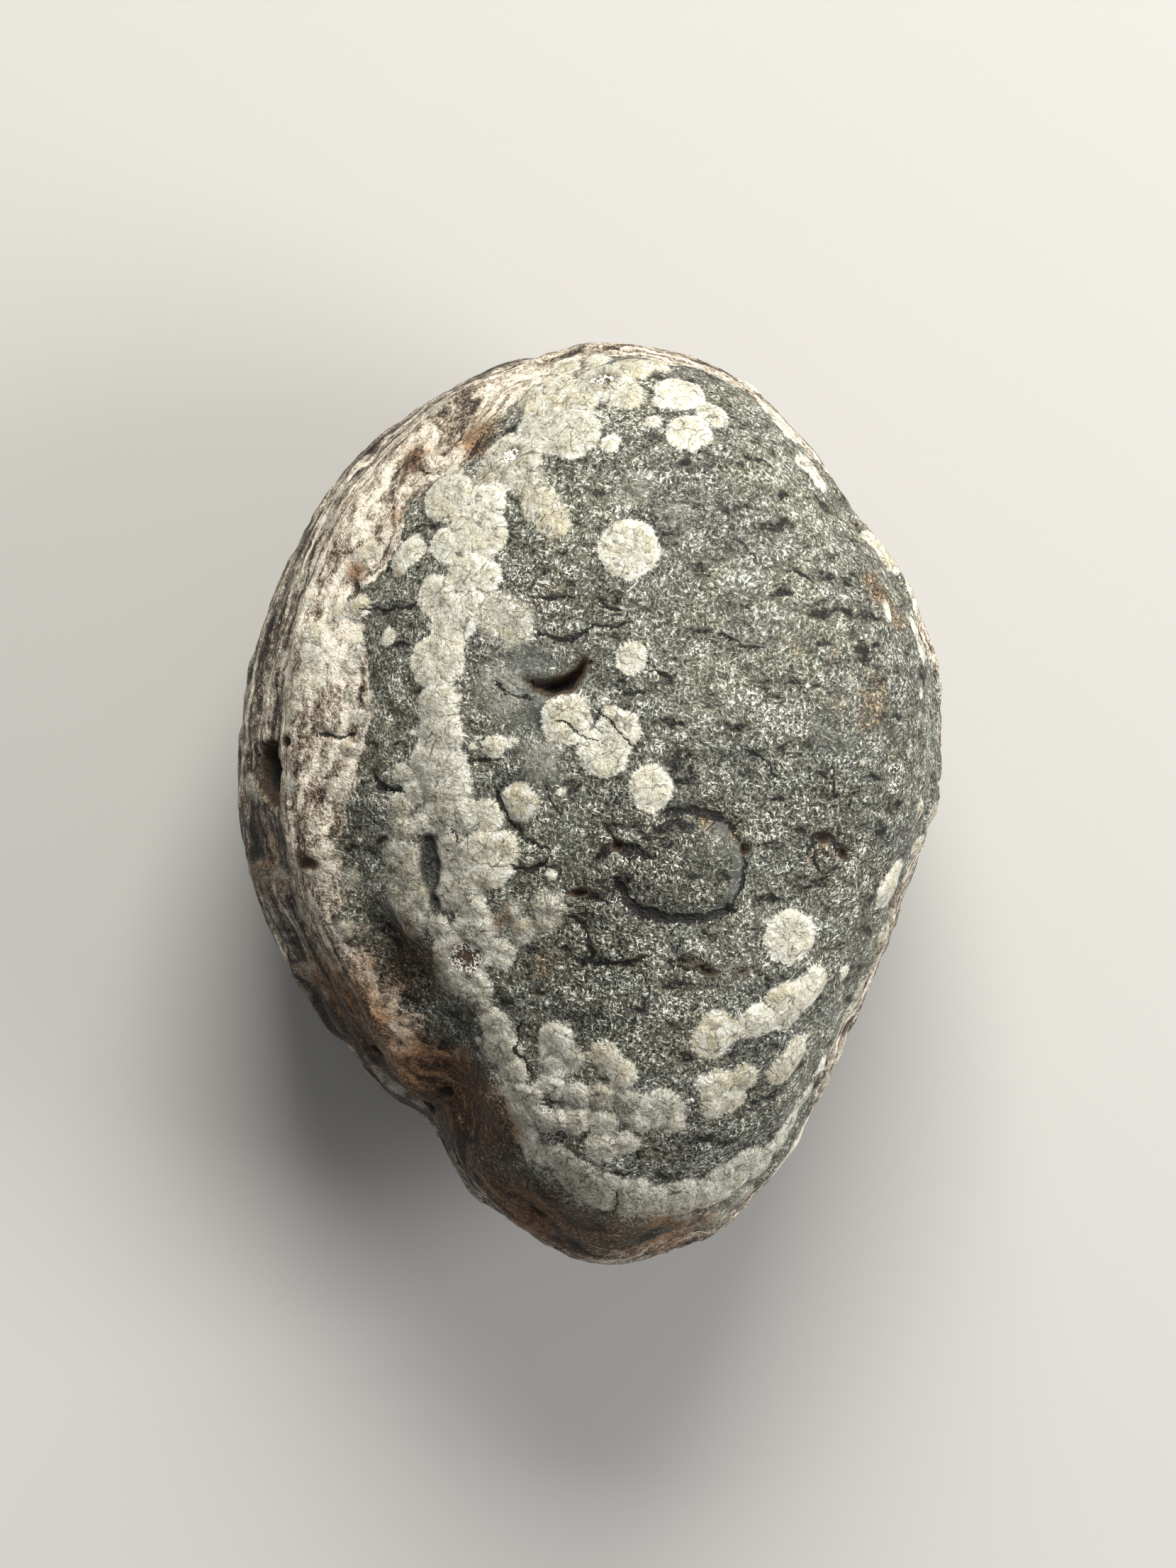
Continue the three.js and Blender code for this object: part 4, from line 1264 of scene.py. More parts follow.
    def build(self) -> bpy.types.Object:
        """Makes the stone's mesh, with the attributes that its finish reads.

        Returns:
            The stone's object.
        """
        index = self._index()
        smooth = self.body.surface(self.directions(index))
        near = NearestGrowth.of(smooth, self.growths.placed())
        relief = self.fine_relief(smooth, near)
        points = smooth + self.body.outward(smooth) * relief[:, None]
        settled = self.settle(points, smooth)
        quads = self.quads(index)
        mesh = bpy.data.meshes.new("pebble")
        mesh.from_pydata((settled * MM).tolist(), [], quads.tolist())
        mesh.validate()
        mesh.shade_smooth()
        worn = self.weathering
        # painted shade: the brownish soil patches read here are partly real soiling and partly painted
        # shade with a painted warm reflection
        stained = (worn.paled_lit_and_shaded, worn.grime_and_shade, worn.rust, worn.smooth, worn.frosted)
        paled_lit_and_shaded, grime_and_shade, rust, polished, frosted = (worn.amount(smooth, patch) for patch in stained)
        self._attach(mesh, "beds", *near.beds.T)
        self._attach(mesh, "cast", *near.cast.T)
        self._attach(mesh, "ray", *near.ray.T)
        # painted light and shade: the layers attribute carries the flank paling, partly painted light and
        # shade, and the brownish soil, partly painted shade
        self._attach(mesh, "layers", Layering(self.body).depth(smooth), paled_lit_and_shaded, grime_and_shade)
        self._attach(mesh, "crack", *self.crack_cut(smooth), self.ring_crescent(smooth))
        self._attach(mesh, "hollow", *self.hollow_inset(smooth))
        self._attach(mesh, "wear", rust, polished, frosted)
        pebble = bpy.data.objects.new("pebble", mesh)
        bpy.context.scene.collection.objects.link(pebble)
        return pebble


Socket = bpy.types.NodeSocket
Colour = tuple[float, float, float, float]
Place = tuple[float, float, float]
Stops = tuple[tuple[float, Colour], ...]
Feed = float | Colour | Place | Socket


def linear(value: int) -> float:
    """One channel, by the sRGB curve: v / 12.92 when dark, else ((v + 0.055) / 1.055)^2.4."""
    share = value / 255.0
    return share / 12.92 if share <= 0.04045 else ((share + 0.055) / 1.055) ** 2.4


def paint(red: int, green: int, blue: int) -> Colour:
    """Blender's linear colour for one given as sRGB numbers from 0 to 255."""
    return (linear(red), linear(green), linear(blue), 1.0)


def tone_row(*stops: tuple[float, int, int, int]) -> Stops:
    """A row of tones, each given as its place from 0 to 1 and its sRGB numbers."""
    return tuple((at, paint(red, green, blue)) for at, red, green, blue in stops)


@dataclass
class Graph:
    """The nodes and links of one material or node group."""

    tree: bpy.types.NodeTree

    def add(self, kind: str, feeds: dict[str | int, Feed], **settings: object) -> bpy.types.Node:
        """Adds a node.

        Args:
            kind: Blender's name for the kind of node.
            feeds: a value or another node's socket for each input named.
            settings: the node's own settings.

        Returns:
            The node.
        """
        node = self.tree.nodes.new(kind)
        for name, value in settings.items():
            setattr(node, name, value)
        for key, value in feeds.items():
            if isinstance(value, Socket):
                self.tree.links.new(value, node.inputs[key])
            else:
                node.inputs[key].default_value = value
        return node

    def math(self, operation: str, *values: Feed, clamp: bool = False) -> Socket:
        """One step of arithmetic."""
        settings = {"operation": operation, "use_clamp": clamp}
        return self.add("ShaderNodeMath", dict(enumerate(values)), **settings).outputs[0]

    def times(self, *values: Feed) -> Socket:
        """The product of two numbers or more."""
        return reduce(partial(self.math, "MULTIPLY"), values)

    def moved(self, base: Feed, *pushes: tuple[Feed, float, Feed]) -> Socket:
        """A number moved by others, one after the other: base + (value - middle) * strength.

        Args:
            base: the number to move.
            pushes: the value, its middle and its strength, for each.

        Returns:
            The moved number.
        """
        for value, middle, strength in pushes:
            away = self.math("SUBTRACT", value, middle) if middle else value
            base = self.math("MULTIPLY_ADD", away, strength, base)
        return base

    def vector(self, operation: str, feeds: dict[str | int, Feed], output: str = "Vector") -> Socket:
        """One step of vector arithmetic."""
        return self.add("ShaderNodeVectorMath", feeds, operation=operation).outputs[output]

    def ramp(self, value: Feed, low: Feed, high: Feed) -> Socket:
        """Rises smoothly from 0 at low to 1 at high, or falls where low is the larger."""
        feeds = {"Value": value, "From Min": low, "From Max": high, "To Min": 0.0, "To Max": 1.0}
        return self.add("ShaderNodeMapRange", feeds, interpolation_type="SMOOTHSTEP").outputs["Result"]

    def mix(self, share: Feed, first: Feed, second: Feed, blend: str = "MIX") -> Socket:
        """Blends two colours."""
        settings = {"data_type": "RGBA", "blend_type": blend, "clamp_factor": True}
        return self.add("ShaderNodeMix", {0: share, 6: first, 7: second}, **settings).outputs[2]

    def noise(self, at: Feed, scale: Feed, detail: float = 2.0, roughness: float = 0.5) -> Socket:
        """Smooth noise from 0 to 1."""
        feeds = {"Vector": at, "Scale": scale, "Detail": detail, "Roughness": roughness}
        return self.add("ShaderNodeTexNoise", feeds).outputs["Fac"]

    def grains(self, at: Feed, scale: float) -> Socket:
        """Packed round grains: 0 in the middle of each, rising to about 0.7 between them."""
        return self.add("ShaderNodeTexVoronoi", {"Vector": at, "Scale": scale}).outputs["Distance"]

    def wander(self, at: Feed, scale: float, reach: float) -> Socket:
        """Moves a place about, by smooth noise.

        Args:
            at: the place.
            scale: how fine the noise is.
            reach: twice as far as it moves the place at most.

        Returns:
            The moved place.
        """
        feeds = {"Vector": at, "Scale": scale, "Detail": 1.0}
        noise = self.add("ShaderNodeTexNoise", feeds).outputs["Color"]
        centred = self.vector("SUBTRACT", {0: noise, 1: (0.5, 0.5, 0.5)})
        return self.vector("MULTIPLY_ADD", {0: centred, 1: (reach, reach, reach), 2: at})

    def tones(self, value: Feed, stops: Stops) -> Socket:
        """Colours a number by a row of tones.

        Args:
            value: the number, from 0 to 1.
            stops: the tones, with the numbers that they stand at.

        Returns:
            The colour.
        """
        node = self.add("ShaderNodeValToRGB", {"Fac": value})
        while len(node.color_ramp.elements) < len(stops):
            node.color_ramp.elements.new(1.0)
        for element, (at, colour) in zip(node.color_ramp.elements, stops):
            element.position, element.color = at, colour
        return node.outputs["Color"]

    def thread(self, at: Feed, scale: Feed, width: Feed) -> Socket:
        """Thin curling lines, where smooth noise passes through its middle value.

        Args:
            at: the place.
            scale: how fine the noise is.
            width: how far from its middle the noise may be in a line.

        Returns:
            1 in the middle of a line, falling to 0 at its edges.
        """
        noise = self.noise(at, scale, 0.0)
        away = self.math("ABSOLUTE", self.math("SUBTRACT", noise, 0.5))
        return self.ramp(away, width, 0.0)

    def attribute(self, name: str) -> bpy.types.Node:
        """Reads one of the piece's own attributes."""
        return self.add("ShaderNodeAttribute", {}, attribute_name=name)

    def three(self, name: str) -> tuple[Socket, Socket, Socket]:
        """The three numbers of one of the piece's own attributes."""
        return self.parts(self.attribute(name).outputs["Vector"])

    def parts(self, vector: Feed) -> tuple[Socket, Socket, Socket]:
        """A vector's three numbers."""
        node = self.add("ShaderNodeSeparateXYZ", {"Vector": vector})
        return node.outputs[0], node.outputs[1], node.outputs[2]


@dataclass(frozen=True)
class Bruises:
    """The short strokes of bruised and worn stone, with their clumps and grains, as a node group.

    Fine noise is drawn out along each of three directions, at a place that coarser noise has dragged about,
    and the strongest of the three shows, so that the strokes cross.
    """

    name: str = "bruises"
    drag_scale: float = 3.0
    drag_reach: float = 0.19
    stroke_scale: float = 10.5
    drawn_out: float = 0.4
    turns: tuple[tuple[Place, float], ...] = (
        ((0.2, 0.1, 1.0), 0.35),
        ((-0.3, 0.2, 1.0), 1.5),
        ((0.4, -0.5, 1.0), 2.6),
    )
    gain: Point = (1.45, -0.35)
    clump_scale: float = 1.5
    grain_scale: float = 2.6
    grain_drag: Point = (3.2, 0.16)

    def group(self) -> bpy.types.NodeTree:
        """Builds the group.

        Returns:
            The group, into which a place goes, and out of which come the strokes, clumps and grains.
        """
        tree = bpy.data.node_groups.new(self.name, "ShaderNodeTree")
        tree.interface.new_socket("Place", in_out="INPUT", socket_type="NodeSocketVector")
        for socket in ("Strokes", "Clumps", "Grains"):
            tree.interface.new_socket(socket, in_out="OUTPUT", socket_type="NodeSocketFloat")
        graph = Graph(tree)
        place = graph.add("NodeGroupInput", {}).outputs["Place"]
        dragged = graph.wander(place, self.drag_scale, self.drag_reach)
        strokes: Feed = 0.0
        for axis, angle in self.turns:
            feeds = {"Vector": dragged, "Axis": axis, "Angle": angle}
            turned = graph.add("ShaderNodeVectorRotate", feeds, rotation_type="AXIS_ANGLE").outputs[0]
            pulled = graph.vector("MULTIPLY", {0: turned, 1: (self.drawn_out, 1.0, 1.0)})
            strokes = graph.math("MAXIMUM", strokes, graph.noise(pulled, self.stroke_scale, 2.0, 0.65))
        strokes = graph.math("MULTIPLY_ADD", strokes, *self.gain)
        clumps = graph.noise(place, self.clump_scale, 2.0, 0.6)
        grains = graph.grains(graph.wander(place, *self.grain_drag), self.grain_scale)
        graph.add("NodeGroupOutput", {"Strokes": strokes, "Clumps": clumps, "Grains": grains})
        return tree


@dataclass(frozen=True)
class Glass:
    """Beach-worn black glass, bruised all over: from the bottom of its pits to its brightest strokes.

    The strokes' near-white tones are partly real bruise marks and partly painted glints.
    """

    tones: Stops = tone_row(
        (0.28, 14, 13, 11), (0.38, 58, 57, 51), (0.5, 96, 96, 86), (0.6, 140, 141, 128),
        (0.68, 188, 189, 177), (0.76, 250, 250, 243),
    )
    smooth: Colour = paint(96, 98, 92)
    bare: Colour = paint(34, 37, 42)
    olive: Colour = paint(138, 130, 98)
    middle_tone: float = 0.412
    haze: float = 0.26
    frost: float = 0.07
    clumps: float = 0.28
    blotches: float = 0.22
    pools: float = -0.2
    contrast: float = 0.74
    worn_contrast: float = 0.5
    pool_edge: Point = (0.42, 0.32)
    olive_edge: Point = (0.14, 0.34)
    olive_cover: float = 0.45
    smooth_cover: float = 0.8
    roughness: float = 0.5


@dataclass(frozen=True)
class Snow:
    """The spherulites' pale fibres: the white ones' tones, and the grey ones'."""

    white_tones: Stops = tone_row(
        (0.26, 112, 106, 88), (0.4, 178, 175, 158), (0.55, 207, 206, 191), (0.72, 246, 246, 240),
    )
    grey_tones: Stops = tone_row(
        (0.28, 66, 62, 50), (0.42, 126, 124, 112), (0.56, 162, 160, 147), (0.74, 216, 214, 200),
    )
    cream: Colour = paint(224, 211, 184)
    crease: Colour = paint(60, 54, 42)
    middle_tone: float = 0.5
    fibres: float = 0.7
    tufts: float = 0.38
    clumps: float = 0.1
    grains: float = -0.2
    own_shade: float = 0.06
    rim_light: float = 0.08
    tufted_edge: float = 0.22
    lumpy_edge: float = 0.36
    frayed_edge: float = 0.13
    edge_width: float = 0.06
    veil_width: float = 0.6
    melt: float = 0.55
    crease_depth: float = 0.7
    wiggle_depth: float = 0.8
    crazed_depth: float = 0.75
    roughness: float = 0.82


@dataclass(frozen=True)
class Layers:
    """The flanks' pale sandy layers and the dark ones between them, by their depth in the pile."""

    pale_tones: Stops = tone_row(
        (0.3, 38, 30, 24), (0.42, 102, 88, 72), (0.55, 162, 150, 131), (0.76, 238, 229, 210),
    )
    dark_tones: Stops = tone_row(
        (0.3, 16, 13, 11), (0.46, 52, 46, 40), (0.6, 104, 96, 84), (0.78, 196, 188, 170),
    )
    pale_spans: tuple[Point, ...] = ((4.45, 6.4), (7.2, 7.6), (8.6, 9.3), (10.0, 10.9), (11.6, 12.2))
    raggedness: float = 1.2
    streak_pitch: float = 80.0
    middle_tone: float = 0.105
    strokes: float = 0.85
    clumps: float = 0.35
    streaks: float = 1.15
    grains: float = -0.24
    # painted light and shade: how far the paling patches lift the layers' tone, or lower it where they are
    # below 0
    paled_lit_and_shaded_tone: float = 0.14
    lip: float = 0.06
    paled_lit_and_shaded_cover: float = 0.6


@dataclass(frozen=True)
class Stains:
    """Rust; brownish soil that is partly painted shade with a painted warm reflection; soil in the hollows
    and cracks that darkens as painted shade where they deepen; a pit-edge line that is partly a painted
    highlight; and crystals in the open bubbles.
    """

    rust_tones: Stops = tone_row(
        (0.34, 38, 30, 22), (0.48, 96, 80, 60), (0.6, 160, 136, 102), (0.74, 222, 204, 168),
    )
    # painted shade: the brownish wash colour, thick tones and gloss below are for soil that is partly real
    # and partly painted shade with a painted warm reflection
    grime_and_shade: Colour = paint(172, 134, 102)
    grime_and_shade_tones: Stops = tone_row(
        (0.3, 20, 12, 8), (0.46, 80, 52, 34), (0.6, 120, 88, 64), (0.76, 188, 162, 132),
    )
    grime_and_shade_roughness: float = 0.25
    washed_grime_and_shade: float = 0.95
    wash_edge: Point = (0.1, 0.8)
    thick_grime_and_shade: float = 0.75
    cake_edge: Point = (0.65, 1.5)
    rusty: float = 0.8
    rust_edge: Point = (0.35, 0.9)
    # painted shade: how strongly the dark soil and shade fill the hollows and the cracks' lines
    dirt_and_shade_cover: float = 0.95
    pale_rim: float = 0.25
    # painted highlight: how strongly the pale line along the crescent pit's lower edge is painted
    edge: float = 0.4
    # painted shade: near black for the deepest part of the hollows and for the cracks, partly real soil and
    # partly shade
    dirt_and_shade: Colour = paint(12, 9, 7)
    pit_wall: Colour = paint(70, 52, 36)
    # partly painted highlight: the colour of the crescent pit's lower-edge line, and of the pale rims round
    # the hollows
    brown_edge_and_highlight: Colour = paint(138, 118, 94)
    crystal: Colour = paint(240, 238, 226)


@dataclass(frozen=True)
class Texture:
    """What the finish reads everywhere: the place on the stone, and its strokes, clumps and grains."""

    place: Socket
    strokes: Socket
    clumps: Socket
    grains: Socket


@dataclass
class StoneFinish:
    """The stone's one material, built up from its glass, its layers, its spherulites and its stains."""

    glass: Glass = field(default_factory=Glass)
    snow: Snow = field(default_factory=Snow)
    layers: Layers = field(default_factory=Layers)
    stains: Stains = field(default_factory=Stains)
    bruises: Bruises = field(default_factory=Bruises)
    made: bpy.types.Material = field(init=False)
    graph: Graph = field(init=False)
    texture: Texture = field(init=False)
    specular: float = 0.3
    scar_cover: float = 0.6
    scar_gloss: float = -0.25
    crystal_gloss: float = -0.3
    stroke_relief: float = 0.085
    snow_stroke_relief: float = -0.04
    snow_relief: float = 0.065
    clump_relief: float = 0.14
    crack_relief: float = -0.06
    hollow_relief: float = -0.1

    def __post_init__(self) -> None:
        """Opens the material, and places the bruises in it, at the place on the stone in millimetres."""
        self.made = bpy.data.materials.new("snowflake_obsidian")
        self.made.use_nodes = True
        self.made.node_tree.nodes.clear()
        self.graph = Graph(self.made.node_tree)
        place = self.graph.add("ShaderNodeTexCoord", {}).outputs["Object"]
        place = self.graph.vector("SCALE", {0: place, "Scale": 1.0 / MM})
        bruised = self.graph.add("ShaderNodeGroup", {"Place": place}, node_tree=self.bruises.group())
        self.texture = Texture(place, *(bruised.outputs[name] for name in ("Strokes", "Clumps", "Grains")))

    def _glass(self, smooth: Socket, frosted: Socket) -> Socket:
        """The glass's colour.

        Args:
            smooth: how smooth the glass is worn there.
            frosted: how frosted it is there.

        Returns:
            The colour.
        """
        graph, texture, glass = self.graph, self.texture, self.glass
        haze = graph.noise(texture.place, 0.34, 3.0, 0.6)
        flat = graph.vector("MULTIPLY", {0: graph.wander(texture.place, 1.4, 0.5), 1: (0.7, 1.5, 1.0)})
        blotches = graph.noise(flat, 1.1, 3.0, 0.62)
        lift = graph.moved(
            glass.middle_tone,
            (haze, 0.0, glass.haze),
            (frosted, 0.0, glass.frost),
            (texture.clumps, 0.5, glass.clumps),
            (blotches, 0.5, glass.blotches),
            (graph.ramp(blotches, *glass.pool_edge), 0.0, glass.pools),
        )
        contrast = graph.moved(glass.contrast, (graph.ramp(frosted, 0.8, -0.8), 0.0, glass.worn_contrast))
        contrast = graph.times(contrast, graph.moved(0.15, (blotches, 0.0, 1.8)))
        # painted glints: the strokes lift the glass towards near white, partly as real bruise marks and
        # partly as glints of light
        colour = graph.tones(graph.moved(lift, (texture.strokes, 0.5, contrast)), glass.tones)
        olive = graph.ramp(graph.moved(haze, (blotches, 0.0, -0.5)), *glass.olive_edge)
        tinted = graph.mix(1.0, colour, glass.olive, "SOFT_LIGHT")
        colour = graph.mix(graph.times(olive, glass.olive_cover), colour, tinted)
        return graph.mix(graph.times(smooth, glass.smooth_cover), colour, glass.smooth)

    def _pale_layers(self, warped: Socket) -> tuple[Socket, Socket, Socket]:
        """Where the pale layers lie in the pile.

        Args:
            warped: how deep in the pile of layers, made ragged.

        Returns:
            How far the place is in a pale layer, how much of any layer covers the glass there, and how far
            the place is in the top layer's bright lip.
        """
        graph, spans = self.graph, self.layers.pale_spans
        pale: Feed = 0.0
        for start, end in spans:
            rise = graph.ramp(warped, start - 0.2, start + 0.2)
            fall = graph.ramp(warped, end + 0.25, end - 0.25)
            pale = graph.math("MAXIMUM", pale, graph.times(rise, fall))
        first, last = spans[0][0], spans[-1][1]
        rise, fall = graph.ramp(warped, first - 0.1, first + 0.1), graph.ramp(warped, last + 0.5, last)
        cover = graph.times(rise, fall)
        rise, fall = graph.ramp(warped, first, first + 0.2), graph.ramp(warped, first + 1.0, first + 0.3)
        return pale, cover, graph.times(rise, fall)

    def _sand(self, depth: Socket, paled_lit_and_shaded: Socket) -> tuple[Socket, Socket]:
        """The flank layers' colour, and how much they cover the glass.

        Their streaks are noise that is nearly flat along the layers: it is read at x, y and a multiple of
        the logarithm of the depth, so that they widen with the depth.

        Args:
            depth: how deep in the pile of layers.
            paled_lit_and_shaded: how much paler the layers are there, partly as real paling and partly as
                painted light, or darker where it is below 0, as painted shade.

        Returns:
            The colour and the cover.
        """
        graph, texture, layers = self.graph, self.texture, self.layers
        ragged = graph.math("SUBTRACT", graph.noise(texture.place, 1.1, 3.0, 0.62), 0.5)
        ragged = graph.times(ragged, layers.raggedness)
        pale, cover, lip = self._pale_layers(graph.math("ADD", depth, ragged))
        x, y, _ = graph.parts(texture.place)
        lined = graph.math("LOGARITHM", graph.moved(depth, (ragged, 0.0, 0.35)), math.e)
        pile = {0: x, 1: y, 2: graph.times(lined, layers.streak_pitch)}
        streak = graph.noise(graph.add("ShaderNodeCombineXYZ", pile).outputs[0], 0.36, 2.0, 0.6)
        # painted light and shade: the paling lifts the tone on the upper left and lowers it on the lower
        # left
        tone = graph.moved(
            layers.middle_tone,
            (texture.strokes, 0.0, layers.strokes),
            (texture.clumps, 0.5, layers.clumps),
            (streak, 0.5, layers.streaks),
            (texture.grains, 0.56, layers.grains),
            (paled_lit_and_shaded, 0.0, layers.paled_lit_and_shaded_tone),
            (lip, 0.0, layers.lip),
        )
        # painted light: the paling also turns the layers pale, partly as real paling
        pale = graph.math("MULTIPLY_ADD", paled_lit_and_shaded, layers.paled_lit_and_shaded_cover, pale, clamp=True)
        dark, light = graph.tones(tone, layers.dark_tones), graph.tones(tone, layers.pale_tones)
        return graph.mix(pale, dark, light), cover

    def _wiggles(self) -> Socket:
        """Short wiggly cracks.

        Returns:
            0 beside them, rising to 1 in them.
        """
        graph, texture = self.graph, self.texture
        drawn_out = graph.vector("MULTIPLY", {0: graph.wander(texture.place, 4.0, 0.3), 1: (0.6, 1.5, 1.0)})
        line = graph.thread(drawn_out, 1.0, 0.02)
        return graph.times(line, graph.ramp(texture.clumps, 0.47, 0.56))

    def _two_deepest(self) -> tuple[Socket, Socket]:
        """The depths in the two nearest spherulites, picked from the four that the stone carries.

        Returns:
            The deepest and the second.
        """
        graph = self.graph
        beds = graph.attribute("beds").outputs
        a, b, c = graph.parts(beds["Color"])
        d = beds["Alpha"]
        high_ab, low_ab = graph.math("MAXIMUM", a, b), graph.math("MINIMUM", a, b)
        high_cd, low_cd = graph.math("MAXIMUM", c, d), graph.math("MINIMUM", c, d)
        lesser = graph.math("MINIMUM", high_ab, high_cd)
        second = graph.math("MAXIMUM", lesser, graph.math("MAXIMUM", low_ab, low_cd))
        return graph.math("MAXIMUM", high_ab, high_cd), second

    def _creases(self, seam: Socket, wiggle: Socket) -> Socket:
        """The dark lines in the spherulites: where two meet, in thin threads, and in short wiggly cracks.

        Args:
            seam: how much deeper the place is in one spherulite than in the next.
            wiggle: the short cracks.

        Returns:
            How dark they are, from 0 to 1.
        """
        graph, texture = self.graph, self.texture
        join = graph.ramp(graph.moved(seam, (texture.strokes, 0.5, 0.25)), 0.06, 0.01)
        join = graph.times(join, graph.ramp(graph.noise(texture.place, 1.9, 1.0), 0.5, 0.62))
        crazed = graph.thread(graph.wander(texture.place, 2.6, 0.45), 1.5, 0.03)
        crazed = graph.times(crazed, graph.ramp(texture.clumps, 0.6, 0.46), self.snow.crazed_depth)
        wiggle = graph.times(wiggle, self.snow.wiggle_depth)
        creases = graph.math("MAXIMUM", graph.times(join, self.snow.crease_depth), wiggle)
        return graph.math("MAXIMUM", creases, crazed)

    def _snow(self, wiggle: Socket) -> tuple[Socket, Socket]:
        """The spherulites' colour, and how much they cover what is under them.

        Each edge is the place where the depth in the nearest ones passes 0, moved by tufts of fibre that
        point away from its middle.

        Args:
            wiggle: the short cracks.

        Returns:
            The colour and the cover.
        """
        graph, texture, snow = self.graph, self.texture, self.snow
        first, second = self._two_deepest()
        cast = graph.attribute("cast").outputs
        bright, warm, cover = graph.parts(cast["Color"])
        ray = graph.vector("NORMALIZE", {0: graph.attribute("ray").outputs["Vector"]})
        near = graph.vector("SCALE", {0: texture.place, "Scale": 1.3})
        around = graph.vector("MULTIPLY_ADD", {0: ray, 1: (6.0, 6.0, 6.0), 2: near})
        tuft = graph.noise(around, 1.1, 2.0, 0.65)
        edge = graph.moved(
            graph.math("ADD", graph.math("SMOOTH_MAX", first, second, snow.melt), 0.03),
            (tuft, 0.5, snow.tufted_edge),
            (texture.clumps, 0.5, snow.lumpy_edge),
            (texture.strokes, 0.5, snow.frayed_edge),
        )
        soft = graph.moved(snow.edge_width, (graph.math("SUBTRACT", 1.0, cover), 0.0, snow.veil_width))
        inside = graph.ramp(edge, graph.times(soft, -1.0), soft)
        tone = graph.moved(
            snow.middle_tone,
            (texture.strokes, 0.5, snow.fibres),
            (tuft, 0.5, snow.tufts),
            (texture.clumps, 0.5, snow.clumps),
            (texture.grains, 0.42, snow.grains),
            (cast["Alpha"], 0.5, snow.own_shade),
            (graph.ramp(first, 0.45, 0.05), 0.0, snow.rim_light),
        )
        colour = graph.mix(bright, graph.tones(tone, snow.grey_tones), graph.tones(tone, snow.white_tones))
        stain = graph.times(warm, graph.ramp(texture.clumps, 0.35, 0.65))
        colour = graph.mix(stain, colour, graph.mix(1.0, colour, snow.cream, "MULTIPLY"))
        creases = self._creases(graph.math("SUBTRACT", first, second), wiggle)
        return graph.mix(creases, colour, snow.crease), graph.times(inside, cover)

    def _soiled_and_shaded(self, colour: Socket, grime_and_shade: Socket, rust: Socket) -> tuple[Socket, Socket]:
        """Soils the stone: a thin brownish wash, then thick soil and rust laid over it; the wash and the
        thick soil are partly real soiling and partly painted shade with a painted warm reflection.

        Args:
            colour: the clean stone's colour.
            grime_and_shade: how much brownish soil there is, partly real soiling and partly painted shade
                with a painted warm reflection.
            rust: how rusty it is there.

        Returns:
            The colour, and how much of it is thick soil, which is partly painted shade.
        """
        graph, texture, stains = self.graph, self.texture, self.stains
        # painted shade: the brownish wash and thick soil stand partly for real soiling and partly for shade
        # and warm reflected light on the lower left
        grime_and_shade = graph.moved(grime_and_shade, (texture.clumps, 0.5, 0.9))
        washed_grime_and_shade = graph.times(graph.ramp(grime_and_shade, *stains.wash_edge), stains.washed_grime_and_shade)
        colour = graph.mix(washed_grime_and_shade, colour, graph.mix(1.0, colour, stains.grime_and_shade, "MULTIPLY"))
        thick_grime_and_shade = graph.times(graph.ramp(grime_and_shade, *stains.cake_edge), stains.thick_grime_and_shade)
        colour = graph.mix(thick_grime_and_shade, colour, graph.tones(texture.strokes, stains.grime_and_shade_tones))
        rusty = graph.moved(rust, (texture.clumps, 0.5, 1.6), (texture.strokes, 0.5, 1.6))
        rusty = graph.times(graph.ramp(rusty, *stains.rust_edge), stains.rusty)
        return graph.mix(rusty, colour, graph.tones(texture.strokes, stains.rust_tones)), thick_grime_and_shade

    def _crack_line(self, across: Socket, half: Socket) -> Socket:
        """The cracks' dark line, partly real soil and partly painted shade in the crack, ragged and broken
        where few clumps are.

        Args:
            across: how far the place lies to one side of the nearest crack.
            half: half the crack's width.

        Returns:
            1 in the middle of the line, 0 beside it.
        """
        graph, texture = self.graph, self.texture
        ragged = graph.times(graph.math("SUBTRACT", texture.strokes, 0.5), 0.3)
        bend = graph.times(graph.math("SUBTRACT", graph.noise(texture.place, 2.2, 1.0), 0.5), 0.4)
        apart = graph.math("ABSOLUTE", graph.math("ADD", graph.math("ADD", across, ragged), bend))
        open_part = graph.times(half, graph.math("MULTIPLY_ADD", texture.clumps, 2.4, -0.2))
        fade = graph.ramp(apart, open_part, graph.times(open_part, 0.6))
        return graph.times(graph.math("LESS_THAN", apart, open_part), fade)

    def _filled(self, colour: Socket, glass: Socket, inset: Socket, fill: Socket) -> tuple[Socket, Socket]:
        """Paints the open bubbles and pits: soil that darkens towards the middle, partly real and partly
        painted shade, crystals or bare glass inside, and a pale rim round them.

        Args:
            colour: the stone's colour round them.
            glass: the glass's own colour.
            inset: how deep inside a hollow's edge the place lies.
            fill: what the hollow holds, 1 for crystals, 0 for soil and painted shade, and -1 for bare
                glass.

        Returns:
            The colour, and how far the place is inside a hollow.
        """
        graph, texture, stains = self.graph, self.texture, self.stains
        inset = graph.moved(inset, (texture.strokes, 0.5, 0.4), (texture.clumps, 0.5, 0.3))
        inside = graph.ramp(inset, -0.03, 0.05)
        rim = graph.times(graph.ramp(inset, -0.12, -0.04), graph.math("SUBTRACT", 1.0, inside))
        colour = graph.mix(graph.times(rim, stains.pale_rim), colour, stains.brown_edge_and_highlight)
